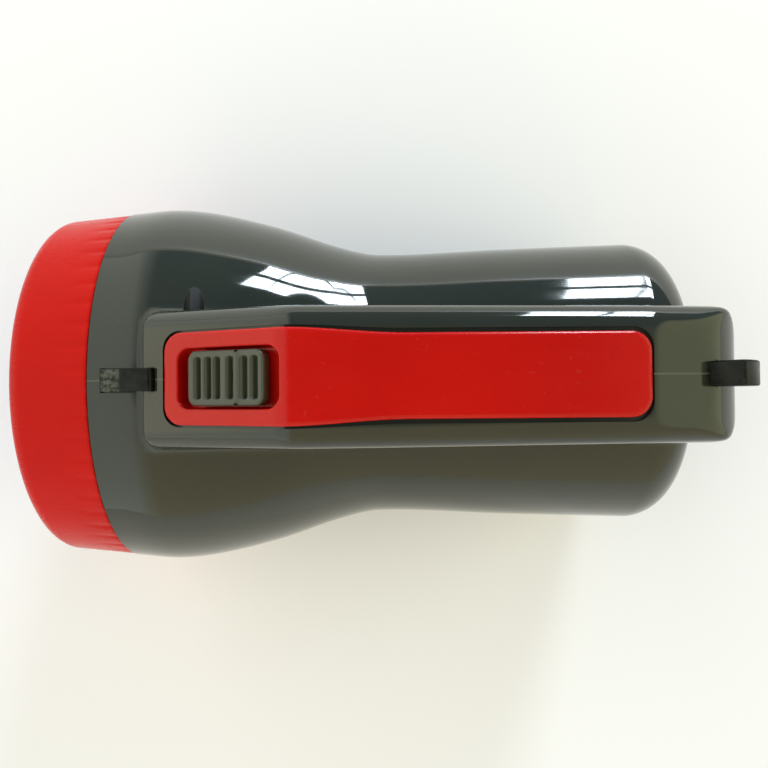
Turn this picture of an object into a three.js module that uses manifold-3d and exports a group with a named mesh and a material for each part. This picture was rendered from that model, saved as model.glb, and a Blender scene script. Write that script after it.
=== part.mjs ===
// A hand-held rechargeable flashlight: a bell head with a screw-on bezel, a barrel that holds the battery,
// and a loop handle moulded in one with the two halves of the body. Millimetres, +Z up, beam along +X.
// Inside the group x runs forward from the rear face and z up from the beam axis. The group then puts
// the origin on the floor, under the middle of the object.

import * as THREE from 'three';
import { mergeVertices } from 'three/addons/utils/BufferGeometryUtils.js';
import Module from 'manifold-3d';

const wasm = await Module();
wasm.setup();

const { lerp, smoothstep, degToRad } = THREE.MathUtils;

// Body: how long the barrel, the bell and the bezel are, and their radii
const barrelLength = 93.3;
const bellLength = 78.2;
const bezelReach = 23.8;
const headSetback = 13.2;
const neckRadius = 43;
const barrelMidFlare = 1.5;
const barrelRearFlare = 3.2;
const barrelMidShare = 0.57;
const headRadius = 58;
const seamDrawIn = 1.1;
const bellCurveShares = [ [ 0.2, 0.17 ], [ 0.5, 0.6 ], [ 0.8, 0.91 ] ];
const rearCornerRadius = 14;
const headClearance = 1.5;
const baseDrop = 2.5;
const bellyExponent = 2.6;
const bellyBlendShares = [ 0.1, 0.85 ];
const wall = 2.5;
const rearWall = 3;

// Clearances: between the two shells, between touching pieces, and the overrun of a cut
const partingGap = 0.3;
const fitGap = 0.3;
const overrun = 2;

// Handle
const fingerRoom = 24;
const handleThickness = 17;
const handleFrontWidth = 35.3;
const handleRearWidth = 31.7;
const handleSetback = 4.8;
const handleRearRadius = 18;
const handleShoulder = 7;
const handleEndRadius = 3.6;
const creaseBeyondNeck = 22.7;
const handleFrontSetback = 16.1;
const handleFrontRise = 5.58;
const handleTopWall = 4.2;
const fingerGapBeyondNeck = 11.7;
const fingerGapRearRadius = 8;
const fingerGapFrontRadius = 12;

// Grip insert, with the pan that the switch cap slides in
const insertRearInset = 7.2;
const insertFrontInset = 7.6;
const insertFrontMargin = 6.3;
const insertGripMargin = 6.1;
const insertTaper = 30;
const insertDepth = 2.2;
const insertProud = 0.5;
const insertEdge = 1.2;
const insertCorner = 4.8;
const pocketFromCrease = 0.4;
const pocketFromEnd = 13.38;
const pocketMargin = 3.85;
const pocketDepth = 3.4;
const pocketCorner = 3.4;
const panWall = 1.2;

// Slide switch
const capFrontGap = 2.8;
const capRearGap = 0.4;
const capSideGap = 0.75;
const capCorner = 2.2;
const capRise = 1.9;
const capBevel = 0.6;
const switchTravel = 3.8;
const grooveWidth = 1.1;
const grooveDepth = 1;
const grooveMargin = 1.95;
const grooveShares = [ 0.125, 0.25, 0.37, 0.56, 0.72, 0.855 ];
const leverLength = 5;
const leverWidth = 3;
const leverSink = 1.2;
const switchInset = 0.6;
const switchWidth = 11;
const switchHeight = 7;
const switchPinShares = [ 0.2, 0.75 ];

// Strap eyes
const eyeWidth = 6;
const eyeBar = 2.2;
const eyeFoot = 1.5;
const rearEyeStand = 5.5;
const rearEyeTopAngle = degToRad( 16 );
const rearEyeBackAngle = degToRad( 74 );
const frontEyeBehind = 6.5;
const frontEyeAhead = 7.2;
const frontEyeRise = 3.4;
const frontEyeHead = 7.2;
const frontEyeTongue = 5;
const frontEyeTongueRise = 0.8;

// Bezel, its thread and the collar that it screws on
const collarWall = 2;
const bezelStep = 0.3;
const bezelTaper = 1.9;
const bezelWall = 2.4;
const bezelRound = 5;
const bezelLip = 2.8;
const bezelLipCover = 4.8;
const bezelLipChamfer = 0.7;
const threadPitch = 3.2;
const threadRoot = 1.5;
const threadTip = 0.7;
const threadHeight = 1.1;
const threadClearance = 0.6;
const threadSink = 0.4;
const threadRunOut = 2.4;
const threadEndRoom = 2.8;
const bezelTurnsLess = 0.7;

// Lamp: lens, gasket, reflector, board and heat sink
const lensThickness = 2.5;
const gasketThickness = 1.3;
const gasketWidth = 3.6;
const reflectorClearance = 0.7;
const reflectorDepth = 46;
const reflectorWall = 1.3;
const reflectorFlange = 1.5;
const reflectorHole = 4.2;
const lampNeckBore = 11.2;
const lampNeckWall = 1.3;
const lampNeckLength = 7.6;
const boardThickness = 1.6;
const emitterSide = 3.5;
const emitterBase = 1;
const emitterDome = 1.5;
const sinkRadius = 16;
const sinkFin = 1.5;
const sinkFinGap = 2;
const sinkCore = 6;
const sinkFins = 4;
const leadInset = 2.6;

// Battery, its cradle ribs and its clamp
const batteryRoom = 6.4;
const batteryLength = 70;
const batteryWidth = 34;
const batteryHeight = 47;
const batteryTop = 20;
const batteryCorner = 2;
const ribThickness = 2;
const ribFrontInset = 14;
const ribRearInset = 12;
const terminalWidth = 4.8;
const terminalHeight = 6;
const terminalThickness = 0.8;
const terminalOffset = 11;
const terminalInset = 4;
const clampLength = 10;
const clampThickness = 1.5;
const clampOverhang = 8;
const clampBoss = 3.4;
const clampScrewLength = 8;

// Charger: board, components, indicator lamp and the recessed two-pin inlet
const chargerRoom = 11;
const chargerWidth = 48;
const chargerHeight = 44;
const slotRib = 1.8;
const slotReach = 4;
const capacitorSize = new THREE.Vector3( 6.5, 12, 14 );
const capacitorOffset = new THREE.Vector2( 13, 10 );
const rectifierSize = new THREE.Vector3( 3, 10, 8 );
const rectifierOffset = new THREE.Vector2( - 14, 9 );
const indicatorRadius = 1.5;
const indicatorFlange = 2;
const indicatorHeight = 9;
const indicatorRecess = 0.4;
const indicatorStem = 2.4;
const inletWidth = 20;
const inletHeight = 11;
const inletReach = 7.5;
const inletWall = 1.3;
const inletFloor = 2.5;
const inletFlange = 1.5;
const inletDrop = 10;
const inletPinRadius = 1.2;
const inletPinSpacing = 8.6;
const inletPinRecess = 1.6;
const inletRoundShare = 0.45;

// Screws that hold the two shells together, entered from the right-hand side
const screwHeadRadius = 2.3;
const screwHeadHeight = 1.8;
const screwShankRadius = 1.2;
const screwLength = 14;
const screwSeat = 8;
const screwHeadGap = 0.3;
const bossWall = 1.7;
const handleScrewShares = [ [ 0.925, 0.63 ], [ 0.0875, 0.863 ] ];
const baseScrewShares = [ 0.105, 0.59, 0.886 ];
const baseScrewDropShare = 0.69;

// Wires, each with its route chosen by hand
const wireRadius = 0.7;
const wireSides = 8;
const wireSteps = 18;

// How finely round forms are divided
const bodySides = 48;
const hollowSides = 24;
const lampSides = 40;
const bezelSides = 64;
const roundSides = 12;
const cornerSteps = 5;
const shoulderSteps = 4;
const bodyStations = 15;
const hollowStations = 9;
const threadSteps = 28;

// Places and sizes that follow from those above. Those that end in FromRear start at the rear face.
const seamFromRear = barrelLength + bellLength;
const overallLength = seamFromRear + bezelReach;
const headFromRear = seamFromRear - headSetback;
const axisHeight = headRadius + headClearance;
const seamRadius = headRadius - seamDrawIn;
const fingerGapRear = handleSetback + handleThickness;
const fingerGapFront = barrelLength + fingerGapBeyondNeck;
const fingerGapTop = neckRadius + fingerRoom;
const handleTop = fingerGapTop + handleThickness;
const handleRoot = neckRadius - 2 * wall;
const creaseFromRear = barrelLength + creaseBeyondNeck;
const handleFrontFromRear = seamFromRear - handleFrontSetback;
const slopeRun = handleFrontFromRear - creaseFromRear;
const slopeFall = handleTop - headRadius - handleFrontRise;
const slopeAngle = Math.atan2( slopeFall, slopeRun );
const insertRearFromRear = handleSetback + handleRearRadius + insertRearInset;
const insertFrontFromRear = handleFrontFromRear - insertFrontInset;
const insertNarrowFromRear = creaseFromRear - insertTaper;
const insertFrontWidth = handleFrontWidth - 2 * insertFrontMargin;
const insertGripWidth = handleRearWidth - 2 * insertGripMargin;
const pocketFront = Math.hypot( slopeRun, slopeFall ) - pocketFromEnd;
const pocketWidth = insertFrontWidth - 2 * pocketMargin;
const panBottom = - pocketDepth - panWall;
const capFront = pocketFront - capFrontGap;
const capRear = pocketFromCrease + switchTravel + capRearGap;
const capLength = capFront - capRear;
const capWidth = pocketWidth - 2 * capSideGap;
const grooveLength = capWidth - 2 * grooveMargin;
const leverMiddle = ( capFront + capRear ) / 2;
const switchTop = panBottom - fitGap;
const switchLength = capLength - switchInset;
const switchRear = leverMiddle - ( switchTravel + switchLength ) / 2;
const rearEyeRadius = handleRearRadius + rearEyeStand;
const frontEyeRear = handleFrontFromRear - frontEyeBehind;
const frontEyeFront = handleFrontFromRear + frontEyeAhead;
const bezelSeamRadius = seamRadius - bezelStep;
const bezelFrontRadius = bezelSeamRadius - bezelTaper;
const bezelBore = bezelFrontRadius - bezelWall;
const collarRadius = bezelBore - threadHeight - threadClearance;
const collarBore = collarRadius - collarWall;
const threadStart = seamFromRear + threadRunOut;
const lensRadius = collarRadius - fitGap;
const bezelLipRadius = lensRadius - bezelLipCover;
const lipBack = overallLength - bezelLip;
const gasketFront = lipBack - fitGap;
const lensFront = gasketFront - gasketThickness - fitGap;
const lensBack = lensFront - lensThickness;
const flangeFront = lensBack - fitGap;
const flangeBack = flangeFront - reflectorFlange;
const collarFromRear = flangeBack - fitGap;
const collarThreadTurns = ( collarFromRear - threadEndRoom - threadStart ) / threadPitch;
const bezelThreadTurns = collarThreadTurns - bezelTurnsLess;
const reflectorMouth = collarBore - reflectorWall - reflectorClearance;
const reflectorApex = flangeFront - reflectorDepth;
const focalLength = reflectorMouth ** 2 / ( 4 * reflectorDepth );
const lampFloor = reflectorApex - reflectorWall;
const lampNeckRear = lampFloor - lampNeckLength;
const boardFront = lampFloor - fitGap;
const boardBack = boardFront - boardThickness;
const sinkRear = lampNeckRear - fitGap - sinkFins * ( sinkFin + sinkFinGap ) + sinkFinGap;
const leadOffset = lampNeckBore - leadInset;
const chargerFromRear = rearWall + chargerRoom;
const chargerFront = chargerFromRear + boardThickness;
const inletDepth = rearWall + inletReach;
const batteryFromRear = chargerFront + batteryRoom;
const batteryFront = batteryFromRear + batteryLength;
const batteryBottom = batteryTop - batteryHeight;
const terminalAlong = batteryFront - terminalInset;
const frontRib = batteryFront - ribFrontInset;
const rearRib = batteryFromRear + ribRearInset;
const clampSide = batteryWidth / 2 + clampOverhang - clampBoss;
const counterboreRadius = screwHeadRadius + screwHeadGap;
const bossRadius = counterboreRadius + bossWall;
const screwPlaces = [
	...handleScrewShares.map( ( [ alongShare, upShare ] ) => ( {
		along: alongShare * handleFrontFromRear,
		up: upShare * handleTop,
	} ) ),
	...baseScrewShares.map( ( alongShare ) => ( {
		along: alongShare * seamFromRear,
		up: - baseScrewDropShare * axisHeight,
	} ) ),
];

// Turns a closed three.js geometry into a solid that can be joined and cut.
function toSolid( geometry ) {

	const bare = new THREE.BufferGeometry();
	bare.setAttribute( 'position', geometry.getAttribute( 'position' ) );
	bare.setIndex( geometry.getIndex() );
	const merged = mergeVertices( bare );
	const corners = merged.getIndex().array;
	const triVerts = [];
	for ( let i = 0; i < corners.length; i += 3 ) {

		const [ a, b, c ] = corners.slice( i, i + 3 );
		if ( a !== b && b !== c && c !== a ) triVerts.push( a, b, c );

	}

	return new wasm.Manifold( new wasm.Mesh( {
		numProp: 3,
		vertProperties: new Float32Array( merged.getAttribute( 'position' ).array ),
		triVerts: new Uint32Array( triVerts ),
	} ) );

}

function toGeometry( solid ) {

	const mesh = solid.getMesh();
	const geometry = new THREE.BufferGeometry();
	geometry.setAttribute( 'position', new THREE.BufferAttribute( mesh.vertProperties, 3 ) );
	geometry.setIndex( new THREE.BufferAttribute( mesh.triVerts, 1 ) );
	geometry.computeVertexNormals();
	return geometry;

}

// A closed solid through rings of equal point counts, capped by a fan at each end.
function loft( rings ) {

	const points = rings.flat();
	const count = rings[ 0 ].length;
	const faces = [];
	for ( let r = 0; r < rings.length - 1; r ++ ) {

		for ( let k = 0; k < count; k ++ ) {

			const next = ( k + 1 ) % count;
			const [ a, b ] = [ r * count + k, r * count + next ];
			faces.push( [ a, b, b + count ], [ a, b + count, a + count ] );

		}

	}

	for ( const end of [ 0, rings.length - 1 ] ) {

		const ring = rings[ end ];
		const centre = ring.reduce( ( sum, p ) => sum.add( p ), new THREE.Vector3() ).divideScalar( count );
		points.push( centre );
		const tip = points.length - 1;
		for ( let k = 0; k < count; k ++ ) {

			const [ a, b ] = [ end * count + k, end * count + ( k + 1 ) % count ];
			faces.push( end === 0 ? [ b, a, tip ] : [ a, b, tip ] );

		}

	}

	const wedge = ( [ a, b, c ] ) => points[ a ].clone().cross( points[ b ] ).dot( points[ c ] );
	const volume = faces.reduce( ( sum, face ) => sum + wedge( face ), 0 );
	const facing = volume < 0 ? faces.map( ( [ a, b, c ] ) => [ a, c, b ] ) : faces;
	const geometry = new THREE.BufferGeometry().setFromPoints( points );
	geometry.setIndex( facing.flat() );
	return toSolid( geometry );

}

function boxBetween( low, high ) {

	const size = new THREE.Vector3().subVectors( high, low );
	const middle = new THREE.Vector3().addVectors( low, high ).multiplyScalar( 0.5 );
	const geometry = new THREE.BoxGeometry( size.x, size.y, size.z );
	return toSolid( geometry.translate( middle.x, middle.y, middle.z ) );

}

// A box given by its middle in y and z, its span in x, and its width and height.
function blockAlong( from, to, width, height, y = 0, z = 0 ) {

	return boxBetween(
		new THREE.Vector3( from, y - width / 2, z - height / 2 ),
		new THREE.Vector3( to, y + width / 2, z + height / 2 ),
	);

}

// A turned solid on the x axis, from a closed profile of [ x, radius ] points.
function turned( profile, sides ) {

	const points = profile.map( ( [ x, radius ] ) => new THREE.Vector2( radius, x ) );
	points.push( points[ 0 ].clone() );
	const area = points.slice( 1 ).reduce( ( sum, p, i ) => sum + points[ i ].cross( p ), 0 );
	if ( area < 0 ) points.reverse();
	return toSolid( new THREE.LatheGeometry( points, sides ).rotateZ( - Math.PI / 2 ).rotateX( Math.PI ) );

}

// A round bar between two points.
function barBetween( start, end, radius, sides = roundSides ) {

	const run = new THREE.Vector3().subVectors( end, start );
	const geometry = new THREE.CylinderGeometry( radius, radius, run.length(), sides );
	const upright = new THREE.Vector3( 0, 1, 0 );
	geometry.applyQuaternion( new THREE.Quaternion().setFromUnitVectors( upright, run.clone().normalize() ) );
	const middle = start.clone().addScaledVector( run, 0.5 );
	return toSolid( geometry.translate( middle.x, middle.y, middle.z ) );

}

const barAcross = ( along, up, from, to, radius ) =>
	barBetween( new THREE.Vector3( along, from, up ), new THREE.Vector3( along, to, up ), radius );

const barAlong = ( from, to, y, z, radius, sides = roundSides ) =>
	barBetween( new THREE.Vector3( from, y, z ), new THREE.Vector3( to, y, z ), radius, sides );

const extrude = ( shape, depth, curveSegments ) =>
	new THREE.ExtrudeGeometry( shape, { depth, curveSegments, bevelEnabled: false } );

// A flat outline in x and z, given a width across y.
function plateAcross( shape, width ) {

	const geometry = extrude( shape, width, cornerSteps );
	return toSolid( geometry.rotateX( Math.PI / 2 ).translate( 0, width / 2, 0 ) );

}

function roundedRect( x, y, width, height, radius ) {

	const shape = new THREE.Shape();
	shape.absarc( x + radius, y + radius, radius, Math.PI, 1.5 * Math.PI );
	shape.absarc( x + width - radius, y + radius, radius, 1.5 * Math.PI, 2 * Math.PI );
	shape.absarc( x + width - radius, y + height - radius, radius, 0, 0.5 * Math.PI );
	shape.absarc( x + radius, y + height - radius, radius, 0.5 * Math.PI, Math.PI );
	return shape;

}

// A smooth curve through [ x, y ] points, as a function of x.
function curveThrough( points ) {

	const steepness = ( i ) => {

		const before = points[ Math.max( i - 1, 0 ) ];
		const after = points[ Math.min( i + 1, points.length - 1 ) ];
		return ( after[ 1 ] - before[ 1 ] ) / ( after[ 0 ] - before[ 0 ] );

	};

	return ( x ) => {

		let i = 0;
		while ( i < points.length - 2 && x > points[ i + 1 ][ 0 ] ) i ++;
		const [ startX, startY ] = points[ i ];
		const [ endX, endY ] = points[ i + 1 ];
		const span = endX - startX;
		const t = THREE.MathUtils.clamp( ( x - startX ) / span, 0, 1 );
		const rise = ( 3 - 2 * t ) * t * t;
		const leaving = steepness( i ) * span * t * ( 1 - t ) * ( 1 - t );
		const arriving = steepness( i + 1 ) * span * t * t * ( 1 - t );
		return startY + ( endY - startY ) * rise + leaving - arriving;

	};

}

const bellPoint = ( [ alongShare, growthShare ] ) => [
	lerp( barrelLength, headFromRear, alongShare ),
	lerp( neckRadius, headRadius, growthShare ),
];

const radiusAt = curveThrough( [
	[ 0, neckRadius + barrelRearFlare ],
	[ barrelMidShare * barrelLength, neckRadius + barrelMidFlare ],
	[ barrelLength, neckRadius ],
	...bellCurveShares.map( bellPoint ),
	[ headFromRear, headRadius ],
	[ seamFromRear, seamRadius ],
] );

// How far a rounded corner draws in at a distance from the face that it starts from.
const cornerInset = ( distance, radius ) => {

	const reach = Math.max( radius - distance, 0 );
	return radius - Math.sqrt( radius ** 2 - Math.min( reach, radius ) ** 2 );

};

// One section of the body: round above the axis, and below it a fuller belly that stands on a flat base.
function bodyRing( along, inset, drawIn, sides ) {

	const atShare = ( share ) => lerp( barrelLength, headFromRear, share );
	const [ blendFrom, blendTo ] = bellyBlendShares.map( atShare );
	const roundness = smoothstep( along, blendFrom, blendTo );
	const radius = radiusAt( along ) - inset - drawIn;
	const depth = lerp( axisHeight + baseDrop, radiusAt( along ), roundness ) - inset - drawIn;
	const power = 2 / lerp( bellyExponent, 2, roundness );
	const lowest = inset - axisHeight;
	return Array.from( { length: sides }, ( _, k ) => {

		const angle = 2 * Math.PI * k / sides;
		const [ across, up ] = [ Math.cos( angle ), Math.sin( angle ) ];
		if ( k <= sides / 2 ) return new THREE.Vector3( along, radius * across, radius * up );
		const y = radius * Math.sign( across ) * Math.abs( across ) ** power;
		return new THREE.Vector3( along, y, Math.max( - depth * Math.abs( up ) ** power, lowest ) );

	} );

}

function bodyLoft( inset, start, end, sides, count ) {

	const corner = rearCornerRadius - inset;
	const stations = [];
	for ( let i = 0; i < cornerSteps; i ++ ) {

		stations.push( start + corner * ( 1 - Math.cos( 0.5 * Math.PI * i / cornerSteps ) ) );

	}

	for ( let i = 0; i <= count; i ++ ) stations.push( lerp( start + corner, end, i / count ) );
	return loft( stations.map( ( along ) =>
		bodyRing( along, inset, cornerInset( along - start, corner ), sides ) ) );

}

// The handle's top line, level from the rear corner to the crease and sloping down in front of it.
const slopeDrop = ( along ) => Math.max( along - creaseFromRear, 0 ) * slopeFall / slopeRun;
const handleTopAt = ( along, setback = handleSetback, radius = handleRearRadius ) =>
	handleTop - slopeDrop( along ) - cornerInset( along - setback, radius );
const handleWidthAt = ( along ) => lerp( handleRearWidth, handleFrontWidth, along / handleFrontFromRear );

// A strip that runs along the handle, with rounded upper edges and rounded ends.
function strip( { stations, from, to, endRadius, widthAt, topAt, bottomAt, edge } ) {

	return loft( stations.map( ( along ) => {

		const nearEnd = Math.min( along - from, to - along );
		const half = widthAt( along ) / 2 - cornerInset( nearEnd, endRadius );
		const [ top, bottom ] = [ topAt( along ), bottomAt( along ) ];
		const side = [ [ half, bottom ] ];
		for ( let i = 0; i <= shoulderSteps; i ++ ) {

			const angle = 0.5 * Math.PI * i / shoulderSteps;
			side.push( [ half - edge * ( 1 - Math.cos( angle ) ), top - edge * ( 1 - Math.sin( angle ) ) ] );

		}

		const other = side.slice().reverse().map( ( [ y, z ] ) => [ - y, z ] );
		return [ ...side, ...other ].map( ( [ y, z ] ) => new THREE.Vector3( along, y, z ) );

	} ) );

}

const endStations = ( face, radius, direction ) => Array.from( { length: cornerSteps + 1 }, ( _, i ) =>
	face + direction * radius * ( 1 - Math.cos( 0.5 * Math.PI * i / cornerSteps ) ) );

function handleLoft( inset, topInset, root ) {

	const rear = handleSetback + inset;
	const front = handleFrontFromRear - inset;
	const radius = handleRearRadius - inset;
	const endRadius = handleEndRadius;
	return strip( {
		stations: [
			...endStations( rear, radius, 1 ),
			creaseFromRear,
			...endStations( front, endRadius, - 1 ).reverse(),
		],
		from: rear,
		to: front,
		endRadius,
		widthAt: ( along ) => handleWidthAt( along ) - 2 * inset,
		topAt: ( along ) => handleTopAt( along, rear, radius ) - topInset,
		bottomAt: () => root,
		edge: handleShoulder - inset,
	} );

}

// The space for the fingers, grown outward by a wall where the hollow keeps clear of it.
function fingerGap( grow ) {

	const [ rear, front, top ] = [ fingerGapRear - grow, fingerGapFront + grow, fingerGapTop + grow ];
	const [ rearRadius, frontRadius ] = [ fingerGapRearRadius + grow, fingerGapFrontRadius + grow ];
	const root = handleRoot - overrun - grow;
	const shape = new THREE.Shape();
	shape.moveTo( rear, root );
	shape.lineTo( front, root );
	shape.absarc( front - frontRadius, top - frontRadius, frontRadius, 0, 0.5 * Math.PI );
	shape.absarc( rear + rearRadius, top - rearRadius, rearRadius, 0.5 * Math.PI, Math.PI );
	return plateAcross( shape, handleFrontWidth + 2 * overrun );

}

const insertWidthAt = ( along ) =>
	lerp( insertGripWidth, insertFrontWidth, smoothstep( along, insertNarrowFromRear, creaseFromRear ) );

function insertStrip( grow, depth, proud, edge ) {

	const [ from, to ] = [ insertRearFromRear - grow, insertFrontFromRear + grow ];
	return strip( {
		stations: [
			...endStations( from, insertCorner, 1 ),
			insertNarrowFromRear,
			lerp( insertNarrowFromRear, creaseFromRear, 1 / 2 ),
			creaseFromRear,
			...endStations( to, insertCorner, - 1 ).reverse(),
		],
		from,
		to,
		endRadius: insertCorner,
		widthAt: ( along ) => insertWidthAt( along ) + 2 * grow,
		topAt: ( along ) => handleTopAt( along ) + proud,
		bottomAt: ( along ) => handleTopAt( along ) - depth,
		edge,
	} );

}

// Places a solid drawn on the handle's slope: x forward down the slope from the crease, z square to it.
const slopePlace = new THREE.Matrix4()
	.makeTranslation( creaseFromRear, 0, handleTop )
	.multiply( new THREE.Matrix4().makeRotationY( slopeAngle ) );

function onSlope( geometry ) {

	return toSolid( geometry.applyMatrix4( slopePlace ) );

}

function slopeBlock( from, to, width, low, high, corner ) {

	const shape = roundedRect( from, - width / 2, to - from, width, corner );
	return onSlope( extrude( shape, high - low, shoulderSteps ).translate( 0, 0, low ) );

}

function switchPan( grow, low, high ) {

	return slopeBlock(
		pocketFromCrease - panWall - grow, pocketFront + panWall + grow,
		pocketWidth + 2 * ( panWall + grow ), low - grow, high, pocketCorner + panWall + grow,
	);

}

// The slot in the pan's floor, long enough for the lever to travel in.
const leverSlot = ( low, high ) => slopeBlock(
	leverMiddle - leverLength / 2 - switchTravel - fitGap, leverMiddle + leverLength / 2 + fitGap,
	leverWidth + 2 * fitGap, low, high, fitGap,
);

function gripInsert() {

	const pocket = slopeBlock(
		pocketFromCrease, pocketFront, pocketWidth, - pocketDepth, overrun, pocketCorner,
	);
	return insertStrip( 0, insertDepth - fitGap, insertProud, insertEdge )
		.add( switchPan( 0, panBottom, - insertDepth / 2 ) )
		.subtract( pocket )
		.subtract( leverSlot( panBottom - overrun, 0 ) );

}

function switchCap() {

	const low = fitGap - pocketDepth;
	const shape = roundedRect(
		capRear + capBevel, capBevel - capWidth / 2,
		capLength - 2 * capBevel, capWidth - 2 * capBevel, capCorner - capBevel,
	);
	const blank = onSlope( new THREE.ExtrudeGeometry( shape, {
		depth: capRise - low - 2 * capBevel,
		bevelThickness: capBevel,
		bevelSize: capBevel,
		bevelSegments: 2,
		curveSegments: 2,
	} ).translate( 0, 0, low + capBevel ) );
	const socket = slopeBlock(
		leverMiddle - leverLength / 2 - fitGap, leverMiddle + leverLength / 2 + fitGap,
		leverWidth + 2 * fitGap, low - overrun, low + 2 * leverSink, fitGap,
	);
	const grooves = grooveShares.map( ( share ) => {

		const groove = new THREE.BoxGeometry( grooveWidth, grooveLength, 2 * grooveDepth );
		return onSlope( groove.translate( capFront - share * capLength, 0, capRise ) );

	} );
	return grooves.reduce( ( cap, groove ) => cap.subtract( groove ), blank.subtract( socket ) );

}

function switchLever() {

	const [ low, high ] = [ switchTop - leverSink + fitGap, 2 * leverSink - pocketDepth ];
	return slopeBlock(
		leverMiddle - leverLength / 2, leverMiddle + leverLength / 2, leverWidth, low, high, fitGap,
	);

}

function switchBody() {

	const [ front, bottom ] = [ switchRear + switchLength, switchTop - switchHeight ];
	return slopeBlock( switchRear, front, switchWidth, bottom, switchTop, fitGap )
		.subtract( leverSlot( switchTop - leverSink, switchTop + overrun ) );

}

// The rear strap eye: a bar bent round the handle's rear corner on two feet.
function rearStrapEye( grow ) {

	const centre = new THREE.Vector2( handleSetback + handleRearRadius, handleTop - handleRearRadius );
	const bend = ( radius, angle ) =>
		[ centre.x - radius * Math.sin( angle ), centre.y + radius * Math.cos( angle ) ];
	const outer = rearEyeRadius + grow;
	const inner = rearEyeRadius - eyeBar - grow;
	const seat = handleRearRadius - eyeFoot - grow;
	const footAngle = ( eyeBar + 2 * grow ) / inner;
	const [ first, last ] = [ rearEyeTopAngle - grow / outer, rearEyeBackAngle + grow / outer ];
	const arc = ( radius, from, to ) => Array.from( { length: 2 * cornerSteps + 1 }, ( _, i ) =>
		bend( radius, lerp( from, to, i / ( 2 * cornerSteps ) ) ) );
	const outline = [
		bend( seat, first ),
		...arc( outer, first, last ),
		bend( seat, last ),
		bend( seat, last - footAngle ),
		...arc( inner, last - footAngle, first + footAngle ),
		bend( seat, first + footAngle ),
	];
	const shape = new THREE.Shape( outline.map( ( [ x, z ] ) => new THREE.Vector2( x, z ) ) );
	return plateAcross( shape, eyeWidth + 2 * grow );

}

// The front strap eye: a bar from the end of the slope over the step and down to the head.
function frontStrapEye( grow ) {

	const slopeZ = handleTopAt( frontEyeRear );
	const headZ = radiusAt( frontEyeFront );
	const shoulder = frontEyeFront - eyeBar;
	const topRear = slopeZ + frontEyeRise + grow;
	const topFront = headZ + frontEyeHead + grow;
	const barDrop = eyeBar + 2 * grow;
	const tongueTip = frontEyeFront + frontEyeTongue + grow;
	const tongueSeat = radiusAt( tongueTip ) - eyeFoot - grow;
	const outline = [
		[ frontEyeRear - grow, slopeZ - eyeFoot - grow ],
		[ frontEyeRear - grow, topRear - eyeBar / 2 ],
		[ frontEyeRear + eyeBar / 2, topRear ],
		[ shoulder, topFront ],
		[ frontEyeFront + grow, topFront - eyeBar / 2 ],
		[ frontEyeFront + grow, headZ + frontEyeTongueRise + grow ],
		[ tongueTip, radiusAt( tongueTip ) + frontEyeTongueRise / 2 + grow ],
		[ tongueTip, tongueSeat ],
		[ shoulder - grow, tongueSeat ],
		[ shoulder - grow, topFront - barDrop ],
		[ frontEyeRear + eyeBar + grow, topRear - barDrop ],
		[ frontEyeRear + eyeBar + grow, slopeZ - eyeFoot - grow ],
	];
	const shape = new THREE.Shape( outline.map( ( [ x, z ] ) => new THREE.Vector2( x, z ) ) );
	return plateAcross( shape, eyeWidth + 2 * grow );

}

// A right-handed helical ridge on the x axis. Its root is sunk into the wall that carries it.
function threadRidge( wallRadius, height, start, turns ) {

	const steps = Math.round( turns * threadSteps );
	const sink = Math.sign( height ) * threadSink;
	return loft( Array.from( { length: steps + 1 }, ( _, i ) => {

		const angle = 2 * Math.PI * i / threadSteps;
		const middle = start + threadPitch * i / threadSteps;
		const corner = ( offset, radius ) =>
			new THREE.Vector3( middle + offset, radius * Math.cos( angle ), radius * Math.sin( angle ) );
		return [
			corner( - threadRoot / 2, wallRadius - sink ),
			corner( threadRoot / 2, wallRadius - sink ),
			corner( threadTip / 2, wallRadius + height ),
			corner( - threadTip / 2, wallRadius + height ),
		];

	} ) );

}

function bezelRing() {

	const rear = seamFromRear + fitGap;
	const roundStart = overallLength - bezelRound;
	const faceRadius = bezelFrontRadius - bezelRound;
	const round = Array.from( { length: cornerSteps + 1 }, ( _, i ) => {

		const angle = 0.5 * Math.PI * i / cornerSteps;
		return [ roundStart + bezelRound * Math.sin( angle ), faceRadius + bezelRound * Math.cos( angle ) ];

	} );
	const ring = turned( [
		[ rear, bezelBore ],
		[ rear, bezelSeamRadius ],
		...round,
		[ overallLength, bezelLipRadius + bezelLipChamfer ],
		[ overallLength - bezelLipChamfer, bezelLipRadius ],
		[ lipBack, bezelLipRadius ],
		[ lipBack, bezelBore ],
	], bezelSides );
	return ring.add( threadRidge( bezelBore, - threadHeight, threadStart + threadPitch / 2, bezelThreadTurns ) );

}

function frontLens() {

	return turned( [
		[ lensBack, 0 ],
		[ lensBack, lensRadius ],
		[ lensFront, lensRadius ],
		[ lensFront, 0 ],
	], lampSides );

}

function lensGasket() {

	const [ back, inner ] = [ gasketFront - gasketThickness, lensRadius - gasketWidth ];
	return turned( [
		[ back, inner ],
		[ back, lensRadius ],
		[ gasketFront, lensRadius ],
		[ gasketFront, inner ],
	], lampSides );

}

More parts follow.
